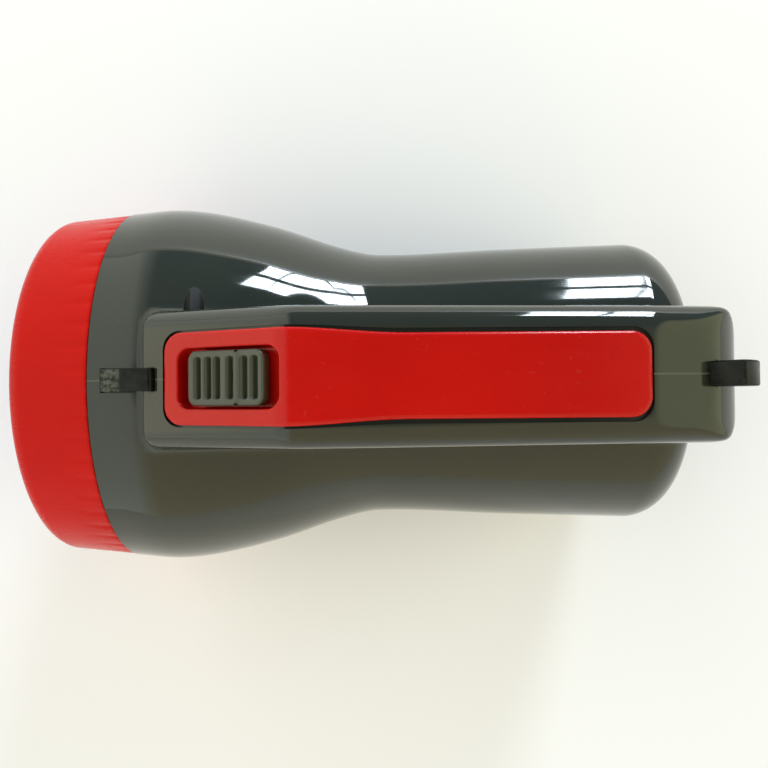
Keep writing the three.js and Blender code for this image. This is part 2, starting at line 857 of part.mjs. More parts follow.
// The reflector: a parabola with a flange in front and a short neck behind that holds the lamp board.
function reflector() {

	const steps = cornerSteps + shoulderSteps;
	const depthAt = ( radius ) => reflectorApex + radius ** 2 / ( 4 * focalLength );
	const neckRadiusOuter = lampNeckBore + lampNeckWall;
	const inside = Array.from( { length: steps + 1 }, ( _, i ) => {

		const radius = lerp( reflectorHole, reflectorMouth, i / steps );
		return [ depthAt( radius ), radius ];

	} );
	const outside = Array.from( { length: cornerSteps }, ( _, i ) => {

		const radius = lerp( reflectorMouth, neckRadiusOuter, ( i + 1 ) / cornerSteps );
		const lean = Math.atan( radius / ( 2 * focalLength ) );
		return [ depthAt( radius ) - reflectorWall / Math.cos( lean ), radius ];

	} );
	return turned( [
		...inside,
		[ flangeFront, lensRadius ],
		[ flangeBack, lensRadius ],
		[ flangeBack, reflectorMouth + reflectorWall ],
		...outside,
		[ lampNeckRear, neckRadiusOuter ],
		[ lampNeckRear, lampNeckBore ],
		[ lampFloor, lampNeckBore ],
		[ lampFloor, reflectorHole ],
	], lampSides );

}

const lampBoard = () => barAlong( boardBack, boardFront, 0, 0, lampNeckBore - fitGap, lampSides / 2 );

function lampEmitter() {

	const domeBase = boardFront + emitterBase;
	const dome = Array.from( { length: shoulderSteps + 1 }, ( _, i ) => {

		const angle = 0.5 * Math.PI * i / shoulderSteps;
		return [ domeBase + emitterDome * Math.sin( angle ), emitterDome * Math.cos( angle ) ];

	} );
	const domeRoot = domeBase - emitterBase / 2;
	const lens = turned( [ [ domeRoot, 0 ], [ domeRoot, emitterDome ], ...dome ], roundSides );
	return blockAlong( boardFront, domeBase, emitterSide, emitterSide ).add( lens );

}

// The heat sink: a plug in the reflector's neck, and round fins behind it on a core.
function heatSink() {

	const plugFront = boardBack - fitGap;
	const finFront = lampNeckRear - fitGap;
	const profile = [
		[ plugFront, 0 ],
		[ plugFront, lampNeckBore - fitGap ],
		[ finFront, lampNeckBore - fitGap ],
	];
	for ( let i = 0; i < sinkFins; i ++ ) {

		const front = finFront - i * ( sinkFin + sinkFinGap );
		const back = front - sinkFin;
		profile.push( [ front, sinkRadius ], [ back, sinkRadius ] );
		if ( i < sinkFins - 1 ) profile.push( [ back, sinkCore ], [ back - sinkFinGap, sinkCore ] );

	}

	profile.push( [ sinkRear, 0 ] );
	const leadHole = ( side ) => barAlong(
		sinkRear - overrun, plugFront + overrun, side * leadOffset, 0, wireRadius + fitGap, roundSides / 2,
	);
	return turned( profile, lampSides / 2 ).subtract( leadHole( 1 ) ).subtract( leadHole( - 1 ) );

}

function battery() {

	const shape = roundedRect( - batteryWidth / 2, batteryBottom, batteryWidth, batteryHeight, batteryCorner );
	const geometry = extrude( shape, batteryLength, 2 ).rotateX( Math.PI / 2 ).rotateZ( Math.PI / 2 );
	return toSolid( geometry.translate( batteryFromRear, 0, 0 ) );

}

const batteryTerminal = ( side ) => blockAlong(
	terminalAlong, terminalAlong + terminalThickness, terminalWidth, terminalHeight,
	side * terminalOffset, batteryTop + terminalHeight / 2,
);

// The cradle ribs stand across the barrel at two places, open upward round the battery.
function cradle() {

	const room = blockAlong(
		batteryFromRear - overrun, batteryFront + overrun,
		batteryWidth + 2 * fitGap, batteryHeight + 2 * fitGap, 0, batteryTop - batteryHeight / 2,
	);
	const ribs = [ rearRib, frontRib ].map( ( along ) => boxBetween(
		new THREE.Vector3( along - ribThickness / 2, - headRadius, - axisHeight ),
		new THREE.Vector3( along + ribThickness / 2, headRadius, batteryTop ),
	) );
	const posts = [ - 1, 1 ].map( ( side ) => barBetween(
		new THREE.Vector3( frontRib, side * clampSide, batteryTop - clampScrewLength - wall ),
		new THREE.Vector3( frontRib, side * clampSide, batteryTop ), clampBoss,
	) );
	return ribs[ 0 ].add( ribs[ 1 ] ).add( posts[ 0 ] ).add( posts[ 1 ] ).subtract( room );

}

const clampHole = ( side, radius, low, high ) => barBetween(
	new THREE.Vector3( frontRib, side * clampSide, low ),
	new THREE.Vector3( frontRib, side * clampSide, high ),
	radius,
);

function batteryClamp() {

	const low = batteryTop + fitGap;
	const plate = boxBetween(
		new THREE.Vector3( frontRib - clampLength / 2, - batteryWidth / 2 - clampOverhang, low ),
		new THREE.Vector3( frontRib + clampLength / 2, batteryWidth / 2 + clampOverhang, low + clampThickness ),
	);
	const holes = [ - 1, 1 ].map( ( side ) =>
		clampHole( side, screwShankRadius + fitGap, low - overrun, low + 2 * overrun ) );
	return plate.subtract( holes[ 0 ] ).subtract( holes[ 1 ] );

}

function clampScrew( side ) {

	const seat = batteryTop + 2 * fitGap + clampThickness;
	const head = clampHole( side, screwHeadRadius, seat, seat + screwHeadHeight );
	const tip = seat - clampScrewLength;
	return head.add( clampHole( side, screwShankRadius, tip, seat + screwHeadHeight / 2 ) );

}

const chargerBoard = () => blockAlong( chargerFromRear, chargerFront, chargerWidth, chargerHeight );

// The charger board stands across the rear of the barrel in a slot on each side.
function cardSlots() {

	const inner = chargerWidth / 2 - slotReach;
	const [ back, front ] = [ chargerFromRear - fitGap, chargerFront + fitGap ];
	const sides = [ - 1, 1 ].map( ( side ) => boxBetween(
		new THREE.Vector3( back - slotRib, side > 0 ? inner : - headRadius, - chargerHeight / 2 ),
		new THREE.Vector3( front + slotRib, side > 0 ? headRadius : - inner, chargerHeight / 2 ),
	) );
	const slot = blockAlong( back, front, chargerWidth + 2 * fitGap, chargerHeight + 2 * overrun );
	return sides[ 0 ].add( sides[ 1 ] ).subtract( slot );

}

const onBoard = ( size, offset ) =>
	blockAlong( chargerFromRear - size.x, chargerFromRear, size.y, size.z, offset.x, offset.y );

function chargeIndicator() {

	const domeBase = indicatorRecess + indicatorRadius;
	const stem = rearWall + indicatorStem;
	const dome = Array.from( { length: shoulderSteps + 1 }, ( _, i ) => {

		const angle = 0.5 * Math.PI * i / shoulderSteps;
		return [ domeBase - indicatorRadius * Math.cos( angle ), indicatorRadius * Math.sin( angle ) ];

	} );
	const lamp = turned( [
		...dome,
		[ stem, indicatorRadius ],
		[ stem, indicatorFlange ],
		[ chargerFromRear, indicatorFlange ],
		[ chargerFromRear, 0 ],
	], roundSides );
	return lamp.translate( [ 0, 0, indicatorHeight ] );

}

// A rounded slot shape that runs along x from the rear face.
function inletBlock( from, to, width, height ) {

	const shape = roundedRect( - width / 2, - height / 2 - inletDrop, width, height, inletRoundShare * height );
	const geometry = extrude( shape, to - from, shoulderSteps );
	return toSolid( geometry.rotateX( Math.PI / 2 ).rotateZ( Math.PI / 2 ).translate( from, 0, 0 ) );

}

const inletPin = ( side, radius, from, to ) =>
	barAlong( from, to, side * inletPinSpacing / 2, - inletDrop, radius, roundSides );

function chargeInlet() {

	const floorRear = inletDepth - inletFloor;
	const flangeRear = rearWall + fitGap;
	const grown = ( from, to, grow ) =>
		inletBlock( from, to, inletWidth + 2 * grow, inletHeight + 2 * grow );
	const cup = grown( 0, inletDepth, 0 )
		.add( grown( flangeRear, flangeRear + inletFlange, inletFlange ) )
		.subtract( grown( - overrun, floorRear, - inletWall ) );
	const holes = [ - 1, 1 ].map( ( side ) =>
		inletPin( side, inletPinRadius + fitGap, floorRear - overrun, inletDepth + overrun ) );
	return cup.subtract( holes[ 0 ] ).subtract( holes[ 1 ] );

}

const pinSolid = ( side ) => inletPin( side, inletPinRadius, inletPinRecess, chargerFromRear - fitGap );

function shellScrew( { along, up } ) {

	const seat = - screwSeat - fitGap;
	const head = barAcross( along, up, seat - screwHeadHeight, seat, screwHeadRadius );
	const shank = barAcross( along, up, seat - screwHeadHeight / 2, seat + screwLength, screwShankRadius );
	return head.add( shank );

}

// The whole moulding, cut apart into its two halves afterwards.
function shellBlank() {

	const cavityEnd = seamFromRear - wall;
	const handle = handleLoft( 0, 0, handleRoot ).subtract( fingerGap( 0 ) );
	const outside = bodyLoft( 0, 0, seamFromRear, bodySides, bodyStations ).add( handle );
	const handleHollow = handleLoft( wall, handleTopWall, handleRoot - overrun ).subtract( fingerGap( wall ) );
	const bodyHollow = bodyLoft( wall, rearWall, cavityEnd, hollowSides, hollowStations );
	const collar = barAlong( cavityEnd, collarFromRear, 0, 0, collarRadius, lampSides )
		.add( threadRidge( collarRadius, threadHeight, threadStart, collarThreadTurns ) );
	const collarHollow = barAlong( cavityEnd - overrun, collarFromRear + overrun, 0, 0, collarBore, lampSides );
	const bosses = screwPlaces.map( ( { along, up } ) =>
		barAcross( along, up, - headRadius, headRadius, bossRadius ) );
	const hollow = [ ...bosses, cradle(), cardSlots() ]
		.reduce( ( room, kept ) => room.subtract( kept ), bodyHollow.add( handleHollow ) );
	let blank = outside.add( collar ).subtract( hollow ).subtract( collarHollow );
	for ( const { along, up } of screwPlaces ) {

		const drillTip = screwLength - screwSeat + fitGap;
		blank = blank
			.subtract( barAcross( along, up, - headRadius - overrun, - screwSeat, counterboreRadius ) )
			.subtract( barAcross( along, up, - screwSeat - overrun, drillTip, screwShankRadius + fitGap ) );

	}

	const clampHoles = [ - 1, 1 ].map( ( side ) =>
		clampHole( side, screwShankRadius + fitGap, batteryTop - clampScrewLength, batteryTop + overrun ) );
	const [ openingWidth, openingHeight ] = [ inletWidth + 2 * fitGap, inletHeight + 2 * fitGap ];
	return blank
		.subtract( insertStrip( fitGap, insertDepth, handleShoulder, 0 ) )
		.subtract( switchPan( fitGap, panBottom, overrun ) )
		.subtract( rearStrapEye( fitGap ) )
		.subtract( frontStrapEye( fitGap ) )
		.subtract( inletBlock( - overrun, rearWall + overrun, openingWidth, openingHeight ) )
		.subtract( barAlong( - overrun, rearWall + overrun, 0, indicatorHeight, indicatorRadius + fitGap ) )
		.subtract( clampHoles[ 0 ] )
		.subtract( clampHoles[ 1 ] );

}

const blank = shellBlank();

function shellHalf( side ) {

	const reach = headRadius + overrun;
	const inner = side * partingGap / 2;
	return blank.intersect( boxBetween(
		new THREE.Vector3( - overrun, Math.min( inner, side * reach ), - axisHeight - overrun ),
		new THREE.Vector3( overallLength, Math.max( inner, side * reach ), handleTop + overrun ),
	) );

}

// A wire as a tube along a smooth curve through its route.
function wire( route ) {

	const points = route.map( ( p ) => new THREE.Vector3( ...p ) );
	const curve = new THREE.CatmullRomCurve3( points, false, 'centripetal' );
	const section = new THREE.Shape( Array.from( { length: wireSides }, ( _, i ) => {

		const angle = 2 * Math.PI * i / wireSides;
		return new THREE.Vector2( wireRadius * Math.cos( angle ), wireRadius * Math.sin( angle ) );

	} ) );
	return new THREE.ExtrudeGeometry( section, { extrudePath: curve, steps: wireSteps, bevelEnabled: false } );

}

const boardSide = chargerFront + fitGap;
const overBattery = batteryTop + terminalHeight / 2 + fitGap + wireRadius;
const underSwitch = switchTop - switchHeight - fitGap;
const [ switchInput, switchOutput ] = switchPinShares.map( ( share ) =>
	new THREE.Vector3( switchRear + share * switchLength, 0, underSwitch ).applyMatrix4( slopePlace ) );
const lampEnd = boardBack - fitGap;

// The first stretch of each wire that leaves the charger board, at a place across it.
const fromBoard = ( y ) => [
	[ boardSide, y, 12 ],
	[ boardSide + 1.2, y, 12 ],
	[ boardSide + 2.9, y, 13.8 ],
	[ boardSide + 3.8, y, 18 ],
	[ boardSide + 5.8, y, 23 ],
	[ boardSide + 13, y, overBattery ],
];

const batteryMiddle = ( batteryFromRear + batteryFront ) / 2;

// A place between the battery's front and the heat sink's rear.
const beforeSink = ( share ) => lerp( batteryFront, sinkRear, share );

const terminalRoute = ( side ) => [
	...fromBoard( side * 9 ),
	[ batteryMiddle, side * 10, overBattery ],
	[ terminalAlong - 8, side * terminalOffset, overBattery ],
	[ terminalAlong - fitGap, side * terminalOffset, overBattery ],
];

const wireRoutes = {
	battery_lead_positive: terminalRoute( - 1 ),
	battery_lead_negative: terminalRoute( 1 ),
	switch_lead: [
		...fromBoard( 4 ),
		[ batteryMiddle, 4, overBattery ],
		[ batteryFront, 4, 27 ],
		[ switchInput.x - 14, 2, 34 ],
		[ switchInput.x - 7, - 1, 44 ],
		[ switchInput.x - 3.5, 0, switchInput.z - 8 ],
		[ switchInput.x, 0, switchInput.z ],
	],
	lamp_lead_negative: [
		...fromBoard( - 4 ),
		[ batteryMiddle, - 4, overBattery ],
		[ beforeSink( 0.06 ), - 4, 21 ],
		[ beforeSink( 0.4 ), - 7, 7 ],
		[ beforeSink( 0.6 ), - leadOffset, 1 ],
		[ beforeSink( 0.9 ), - leadOffset, 0 ],
		[ ( sinkRear + lampEnd ) / 2, - leadOffset, 0 ],
		[ lampEnd, - leadOffset, 0 ],
	],
	lamp_lead_positive: [
		[ switchOutput.x, 0, switchOutput.z ],
		[ switchOutput.x - 3, 1, switchOutput.z - 8 ],
		[ beforeSink( 0.86 ), 5, 38 ],
		[ beforeSink( 0.6 ), 8, 20 ],
		[ beforeSink( 0.5 ), leadOffset, 7 ],
		[ beforeSink( 0.6 ), leadOffset, 0.8 ],
		[ beforeSink( 0.9 ), leadOffset, 0 ],
		[ ( sinkRear + lampEnd ) / 2, leadOffset, 0 ],
		[ lampEnd, leadOffset, 0 ],
	],
};

const plastic = ( color, roughness ) => new THREE.MeshStandardMaterial( { color, roughness, metalness: 0 } );
const metal = ( color, roughness ) => new THREE.MeshStandardMaterial( { color, roughness, metalness: 1 } );
const materials = {
	body: plastic( 0x4a4c40, 0.12 ),
	red: plastic( 0xb8190c, 0.25 ),
	cap: plastic( 0x585a4e, 0.35 ),
	black: plastic( 0x1e1f1a, 0.35 ),
	glass: new THREE.MeshStandardMaterial( {
		color: 0xe8f0f2,
		roughness: 0.05,
		transparent: true,
		opacity: 0.35,
	} ),
	gasket: plastic( 0x2a2a2a, 0.8 ),
	mirror: metal( 0xe6e6ea, 0.05 ),
	steel: metal( 0x9a9c9e, 0.35 ),
	aluminium: metal( 0xb4b6ba, 0.4 ),
	lamp: plastic( 0xf2e27a, 0.2 ),
	battery: plastic( 0x23262b, 0.45 ),
	board: plastic( 0x9c7a3c, 0.6 ),
	capacitor: plastic( 0xa8641e, 0.4 ),
	indicator: plastic( 0xc01c18, 0.15 ),
	wireRed: plastic( 0xb01a14, 0.5 ),
	wireBlack: plastic( 0x16171a, 0.5 ),
};

const flashlight = new THREE.Group();
flashlight.position.set( - overallLength / 2, 0, axisHeight );

function place( name, material, shape ) {

	const geometry = shape.isBufferGeometry ? shape : toGeometry( shape );
	const mesh = new THREE.Mesh( geometry, materials[ material ] );
	mesh.name = name;
	flashlight.add( mesh );

}

place( 'left_shell', 'body', shellHalf( 1 ) );
place( 'right_shell', 'body', shellHalf( - 1 ) );
place( 'bezel_ring', 'red', bezelRing() );
place( 'lens_gasket', 'gasket', lensGasket() );
place( 'front_lens', 'glass', frontLens() );
place( 'reflector', 'mirror', reflector() );
place( 'led_board', 'aluminium', lampBoard() );
place( 'led_emitter', 'lamp', lampEmitter() );
place( 'heat_sink', 'aluminium', heatSink() );
place( 'grip_insert', 'red', gripInsert() );
place( 'switch_cap', 'cap', switchCap() );
place( 'switch_lever', 'black', switchLever() );
place( 'switch_body', 'black', switchBody() );
place( 'front_strap_eye', 'black', frontStrapEye( 0 ) );
place( 'rear_strap_eye', 'black', rearStrapEye( 0 ) );
place( 'battery', 'battery', battery() );
place( 'battery_terminal_positive', 'steel', batteryTerminal( - 1 ) );
place( 'battery_terminal_negative', 'steel', batteryTerminal( 1 ) );
place( 'battery_clamp', 'steel', batteryClamp() );
place( 'clamp_screw_left', 'steel', clampScrew( 1 ) );
place( 'clamp_screw_right', 'steel', clampScrew( - 1 ) );
place( 'charger_board', 'board', chargerBoard() );
place( 'charger_capacitor', 'capacitor', onBoard( capacitorSize, capacitorOffset ) );
place( 'charger_rectifier', 'black', onBoard( rectifierSize, rectifierOffset ) );
place( 'charge_indicator', 'indicator', chargeIndicator() );
place( 'charge_inlet', 'black', chargeInlet() );
place( 'inlet_pin_left', 'steel', pinSolid( 1 ) );
place( 'inlet_pin_right', 'steel', pinSolid( - 1 ) );
screwPlaces.forEach( ( spot, i ) => place( `shell_screw_${ i + 1 }`, 'steel', shellScrew( spot ) ) );
for ( const [ name, route ] of Object.entries( wireRoutes ) ) {

	place( name, name.endsWith( 'negative' ) ? 'wireBlack' : 'wireRed', wire( route ) );

}

export default flashlight;
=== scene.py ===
"""The looks of a rechargeable flashlight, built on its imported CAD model.

Shapes are worked out in millimetres in the object's own directions: along runs forward from the
rear face, across points to the left, and up starts at the beam axis. They are then put in the row's
frame, in metres.
"""

import math

import bmesh
import bpy
import numpy as np
from mathutils import Matrix, Vector


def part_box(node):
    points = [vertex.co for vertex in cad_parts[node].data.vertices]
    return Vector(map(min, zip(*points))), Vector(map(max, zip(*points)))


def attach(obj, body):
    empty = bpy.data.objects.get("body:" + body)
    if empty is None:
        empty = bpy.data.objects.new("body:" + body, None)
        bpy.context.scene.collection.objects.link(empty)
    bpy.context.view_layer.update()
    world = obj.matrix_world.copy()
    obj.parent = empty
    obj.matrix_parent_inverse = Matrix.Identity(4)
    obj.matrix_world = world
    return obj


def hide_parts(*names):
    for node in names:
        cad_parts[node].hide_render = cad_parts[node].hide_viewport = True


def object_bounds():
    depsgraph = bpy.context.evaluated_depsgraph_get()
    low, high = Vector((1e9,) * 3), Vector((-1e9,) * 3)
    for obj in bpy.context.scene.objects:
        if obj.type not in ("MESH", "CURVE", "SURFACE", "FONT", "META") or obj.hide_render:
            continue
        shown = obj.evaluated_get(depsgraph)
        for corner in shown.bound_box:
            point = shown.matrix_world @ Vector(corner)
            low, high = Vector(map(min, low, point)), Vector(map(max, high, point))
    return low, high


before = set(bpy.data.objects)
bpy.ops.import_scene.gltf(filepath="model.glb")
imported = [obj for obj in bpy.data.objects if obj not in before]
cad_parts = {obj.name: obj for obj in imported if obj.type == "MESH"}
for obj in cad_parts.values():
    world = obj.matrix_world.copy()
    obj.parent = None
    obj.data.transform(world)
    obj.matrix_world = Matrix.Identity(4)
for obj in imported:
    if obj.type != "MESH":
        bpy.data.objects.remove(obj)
cad_low, cad_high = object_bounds()

scene = bpy.context.scene
MM = 0.001
SAME_PLACE = 1e-7
SAME_FACING = 0.8
ON_AXIS = 1e-3
lens_low, lens_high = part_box("front_lens")
AXIS_HEIGHT = (lens_low.z + lens_high.z) / 2 / MM
START = np.array([cad_low.x / MM, 0, AXIS_HEIGHT])

# Body: lengths and radii
BARREL_LENGTH = 93.3
SEAM = 171.5
HEAD = 158.3
FRONT = (cad_high.x - cad_low.x) / MM
NECK_RADIUS = 43
BARREL_MID_RADIUS = 44.5
BARREL_REAR_RADIUS = 46.2
BARREL_MID_SHARE = 0.57
HEAD_RADIUS = 57.93
SEAM_RADIUS = 56.9
BELL_CURVE_SHARES = [(0, 0), (0.2, 0.17), (0.5, 0.6), (0.8, 0.91), (1, 1)]
REAR_CORNER = 14
BASE_DROP = 2.5
BELLY_POWER = 2.6
BELLY_BLEND_SHARES = (0.1, 0.85)
BASE_EDGE = 1.2
WALL = 2.5
REAR_WALL = 3
FIT_GAP = 0.3
PARTING_GAP = 0.04
PARTING_ROUND = 0.2
PARTING_SLACK = 0.01
OVERRUN = 2
TURNED_SIDES = 160
SQUARE = ((-1, -1), (1, -1), (1, 1), (-1, 1))

# Supports inside the shell, for the battery, its clamp and the charger board
RIB_SETBACK = 12
RIB_HALF = 1
POST_RADIUS = 3.4
POST_HEIGHT = 10.5
CARD_WALL = 1.8
CARD_INNER = 20
CARD_DROP = 3

# Handle
HANDLE_TOP = 84
HANDLE_SETBACK = 4.0
HANDLE_FRONT = 155.4
HANDLE_REAR_WIDTH = 33.8
HANDLE_FRONT_WIDTH = 36.5
HANDLE_REAR_REACH = 18
HANDLE_REAR_FALL = 13.5
HANDLE_SHOULDER = 8.5
HANDLE_END_RADIUS = 5
HANDLE_REAR_CORNER = 9
HANDLE_DRAFT = 0.03
HANDLE_FRONT_EDGE = 1.6
HANDLE_TOP_WALL = 4.2
HANDLE_ROOT = 38
ROOT_FILLET = 2.6
CREASE = 116
CREASE_SOFTNESS = 1.2
REAR_CREASE = 27.4
REAR_SLOPE = math.radians(8)
SLOPE = math.atan2(20.42, HANDLE_FRONT - CREASE)
FINGER_REAR = 21.8
FINGER_FRONT = 105
FINGER_TOP = 67
FINGER_REAR_RADIUS = 8
FINGER_FRONT_RADIUS = 12
GRIP_EDGE = 4

# Grip insert and the pan in it
INSERT_REAR = 29.6
INSERT_FRONT = 147.8
INSERT_WIDTHS = (20.2, 23.3)
INSERT_NARROW = 86
INSERT_CORNER = 4.8
INSERT_DEPTH = 2.2
INSERT_PROUD = 0.5
INSERT_EDGE = 1.1
POCKET_START = 0.4
POCKET_END = 31
POCKET_WIDTH = 15
POCKET_DEPTH = 3.4
POCKET_CORNER = 3.4
POCKET_LIP = 0.45
PAN_WALL = 1.2
RECESS_GAPS = (1.05, 0.55)

# Switch cap
CAP_START = 4.1
CAP_END = 27.3
CAP_WIDTH = 13.5
CAP_RISE = 1.3
CAP_UNDERCUT = 0.27
CAP_CORNER = 2.4
CAP_EDGE = 0.8
CAP_BAR_SHARE = 0.649
CAP_BAR_HEIGHT = 0.3
CAP_BAR_REACH = 0.8
GROOVE_SHARES = [0.137, 0.278, 0.396, 0.566, 0.748, 0.879]
GROOVE_REACH = 0.7
GROOVE_LENGTH = 9.9
GROOVE_RUN_OUT = 0.8
GROOVE_DEPTH = 1.7
CAP_NOTCH_RADIUS = 0.75
CAP_NOTCH_DROP = 0.4
CAP_NOTCH_EDGE = 0.15
CAP_SOCKET_ROOF = 0.7
LEVER_SLOT = (9.8, 19.2, 3.6)
LEVER_TRAVEL = 3.8

# Collar, bezel and thread
COLLAR_RADIUS = 50.6
COLLAR_BORE = 48.6
COLLAR_END = 186
BEZEL_REAR_RADIUS = 56.6
BEZEL_FRONT_RADIUS = 54.7
BEZEL_BORE = 52.3
BEZEL_ROUND = 5
BEZEL_REAR_EDGE = 0.4
BEZEL_LIP = 2.8
BEZEL_LIP_RADIUS = 45.5
BEZEL_FACE = [
    (3.3, 0), (3.1, 0.25), (2.9, 0.4), (2.3, 0.4), (2.1, 0.25), (1.9, 0),
    (0.9, 0), (0.25, 0.2), (0, 0.8),
]
BEZEL_FLUTES = 56
FLUTE_SIDES = 14
FLUTE_DEPTH = 0.28
FLUTE_REACH = 11
THREAD_PITCH = 3.2
THREAD_ROOT = 1.5
THREAD_TIP = 0.7
THREAD_HEIGHT = 1.1
THREAD_SINK = 0.4
THREAD_START = 173.9
COLLAR_TURNS = 2.9
BEZEL_TURNS = 2.2

# Lamp
LENS_RADIUS = 50.3
LENS_EDGE = 0.4
GASKET_WIDTH = 3.6
REFLECTOR_MOUTH = 46.6
REFLECTOR_DEPTH = 46
REFLECTOR_FRONT = 187.8
REFLECTOR_WALL = 1.3
REFLECTOR_FLANGE = 1.5
REFLECTOR_HOLE = 4.2
LAMP_NECK_BORE = 11.2
LAMP_NECK_LENGTH = 7.6

# Strap eyes
EYE_WIDTH = 6
EYE_BAR = 2.2
EYE_FOOT = 1.5
EYE_EDGE = 0.55
REAR_EYE_CENTRE = (22.8, 66)
REAR_EYE_RADIUS = 23.5
REAR_EYE_RISE = 2.1
REAR_EYE_BENDS = (12.6, 13.0)
REAR_EYE_FOOT = (7.1, 9.4)
REAR_EYE_SEAT = 17.3
REAR_EYE_LAST = math.radians(74)
FRONT_EYE_REAR = 151.1
FRONT_EYE_FRONT = 160.7
FRONT_EYE_TIP = 167.6
FRONT_EYE_RISE = 1.0
FRONT_EYE_HEAD = 6.2
FRONT_EYE_TONGUE_RISE = 0.8

# Screws, inlet and indicator
COUNTERBORE_RADIUS = 2.8
SCREW_BOSS_RADIUS = 4.3
SCREW_SEAT = 8
SCREW_TIP = 6.3
SCREW_HOLE_RADIUS = 1.5
SCREW_HEAD_RADIUS = 2.3
SCREW_HEAD_HEIGHT = 1.8
SCREW_RIM = 0.5
SCREW_SHANK_RADIUS = 1.2
SCREW_NECK_RADIUS = 1.1
SCREW_ROOT_RADIUS = 0.98
SCREW_PITCH = 0.9
SCREW_PLAIN_ENDS = (1, 1.2)
SCREW_POINT = [(0.7, 0.9), (0, 0.25), (0, ON_AXIS)]
SCREW_CROSS = (0.3, 1.35)
SCREW_CROSS_DEPTH = 1.1
INLET_SIZE = (20, 11)
INLET_DROP = 10
INLET_ROUND = 4.95
INLET_DEPTH = 10.5
INLET_FLOOR = 2.5
INLET_WALL = 1.3
INLET_FLANGE = 1.5
INLET_EDGE = 0.35
INLET_PIN_RADIUS = 1.2
INLET_PIN_EDGE = 0.3
INDICATOR_RADIUS = 1.5
INDICATOR_HEIGHT = 9
INDICATOR_RECESS = 0.4
INDICATOR_FLANGE = 2
INDICATOR_STEM = 5.4
EMITTER_SIDE = 3.5
EMITTER_CORNER = 0.35
EMITTER_BASE = 1
EMITTER_DOME = 1.5

# Where each field is sampled: its lowest corner, its highest corner and the grid's step
SHELL_GRID = (-2, -61, -62), (SEAM + 4, 61, HANDLE_TOP + 2), 1.2
HOLLOW_GRID = (0, -58, -60), (SEAM, 58, HANDLE_TOP), 2.1
INSERT_GRID = (INSERT_REAR - 2, -13, 58), (INSERT_FRONT + 2, 13, HANDLE_TOP + 2), 0.42
CAP_GRID = (CAP_START - 1, -8, -POCKET_DEPTH - 1), (CAP_END + 1, 8, CAP_RISE + 1), 0.2


# Plain mathematics

def lerp(start, end, share):
    return start + (end - start) * share


def smoothstep(share):
    t = np.clip(share, 0, 1)
    return t * t * (3 - 2 * t)


def curve_through(points):
    """A smooth curve through (x, y) points, as a function of x."""
    xs, ys = np.array(points, float).T
    run, rise = (ends[2:] - ends[:-2] for ends in (np.pad(xs, 1, "edge"), np.pad(ys, 1, "edge")))
    slopes = rise / run

    def value(x):
        i = np.clip(np.searchsorted(xs, x) - 1, 0, len(xs) - 2)
        span = xs[i + 1] - xs[i]
        t = np.clip((x - xs[i]) / span, 0, 1)
        leaving = slopes[i] * span * t * (1 - t) ** 2
        arriving = slopes[i + 1] * span * t * t * (1 - t)
        return lerp(ys[i], ys[i + 1], smoothstep(t)) + leaving - arriving

    return value


radius_at = curve_through([
    (0, BARREL_REAR_RADIUS), (BARREL_MID_SHARE * BARREL_LENGTH, BARREL_MID_RADIUS),
    *(
        (lerp(BARREL_LENGTH, HEAD, along), lerp(NECK_RADIUS, HEAD_RADIUS, out))
        for along, out in BELL_CURVE_SHARES
    ),
    (SEAM, SEAM_RADIUS),
])


# Fields: functions of place that are negative inside a shape and zero on its surface

def round_in(first, second, radius):
    """What two fields share, with a rounded edge where they meet."""
    corner = np.hypot(np.maximum(first + radius, 0), np.maximum(second + radius, 0)) - radius
    return np.minimum(np.maximum(first, second) + radius, 0) + corner


def oval_in(first, second, first_reach, second_reach):
    """What two fields share, with an edge that is a quarter of an ellipse."""
    u = np.maximum(first / first_reach + 1, 0)
    v = np.maximum(second / second_reach + 1, 0)
    scale = (first_reach * u * u + second_reach * v * v) / (u * u + v * v + 1e-9)
    return (np.hypot(u, v) - 1) * np.maximum(scale, min(first_reach, second_reach))


def soft_max(first, second, reach):
    overlap = np.maximum(reach - np.abs(first - second), 0) / reach
    return np.maximum(first, second) + overlap * overlap * reach / 4


def soft_min(first, second, reach):
    return -soft_max(-first, -second, reach)


def body_field(x, y, z, inset=0.0, rear=0.0):
    """Round above the axis, and below it a fuller belly that stands on a flat base."""
    blend_from, blend_to = (lerp(BARREL_LENGTH, HEAD, share) for share in BELLY_BLEND_SHARES)
    roundness = smoothstep((x - blend_from) / (blend_to - blend_from))
    radius = radius_at(x) - inset
    depth = lerp(AXIS_HEIGHT + BASE_DROP, radius_at(x), roundness) - inset
    below = z < 0
    power = np.where(below, lerp(BELLY_POWER, 2, roundness), 2)
    down = np.where(below, depth, radius)
    size = ((np.abs(y) / radius) ** power + (np.abs(z) / down) ** power) ** (1 / power)
    scale = (radius * y * y + down * z * z) / (y * y + z * z + 1e-9)
    section = (size - 1) * scale
    solid = round_in(section, rear - x, REAR_CORNER - inset)
    return round_in(solid, inset - AXIS_HEIGHT - z, BASE_EDGE)


def handle_top_field(x, z):
    """Distance above the handle's top, level in the middle and sloping down to both ends."""
    slope = on_slope(x, z)[1]
    rear = (REAR_CREASE - x) * math.sin(REAR_SLOPE) + (z - HANDLE_TOP) * math.cos(REAR_SLOPE)
    return soft_max(soft_max(z - HANDLE_TOP, slope, CREASE_SOFTNESS), rear, CREASE_SOFTNESS / 4)


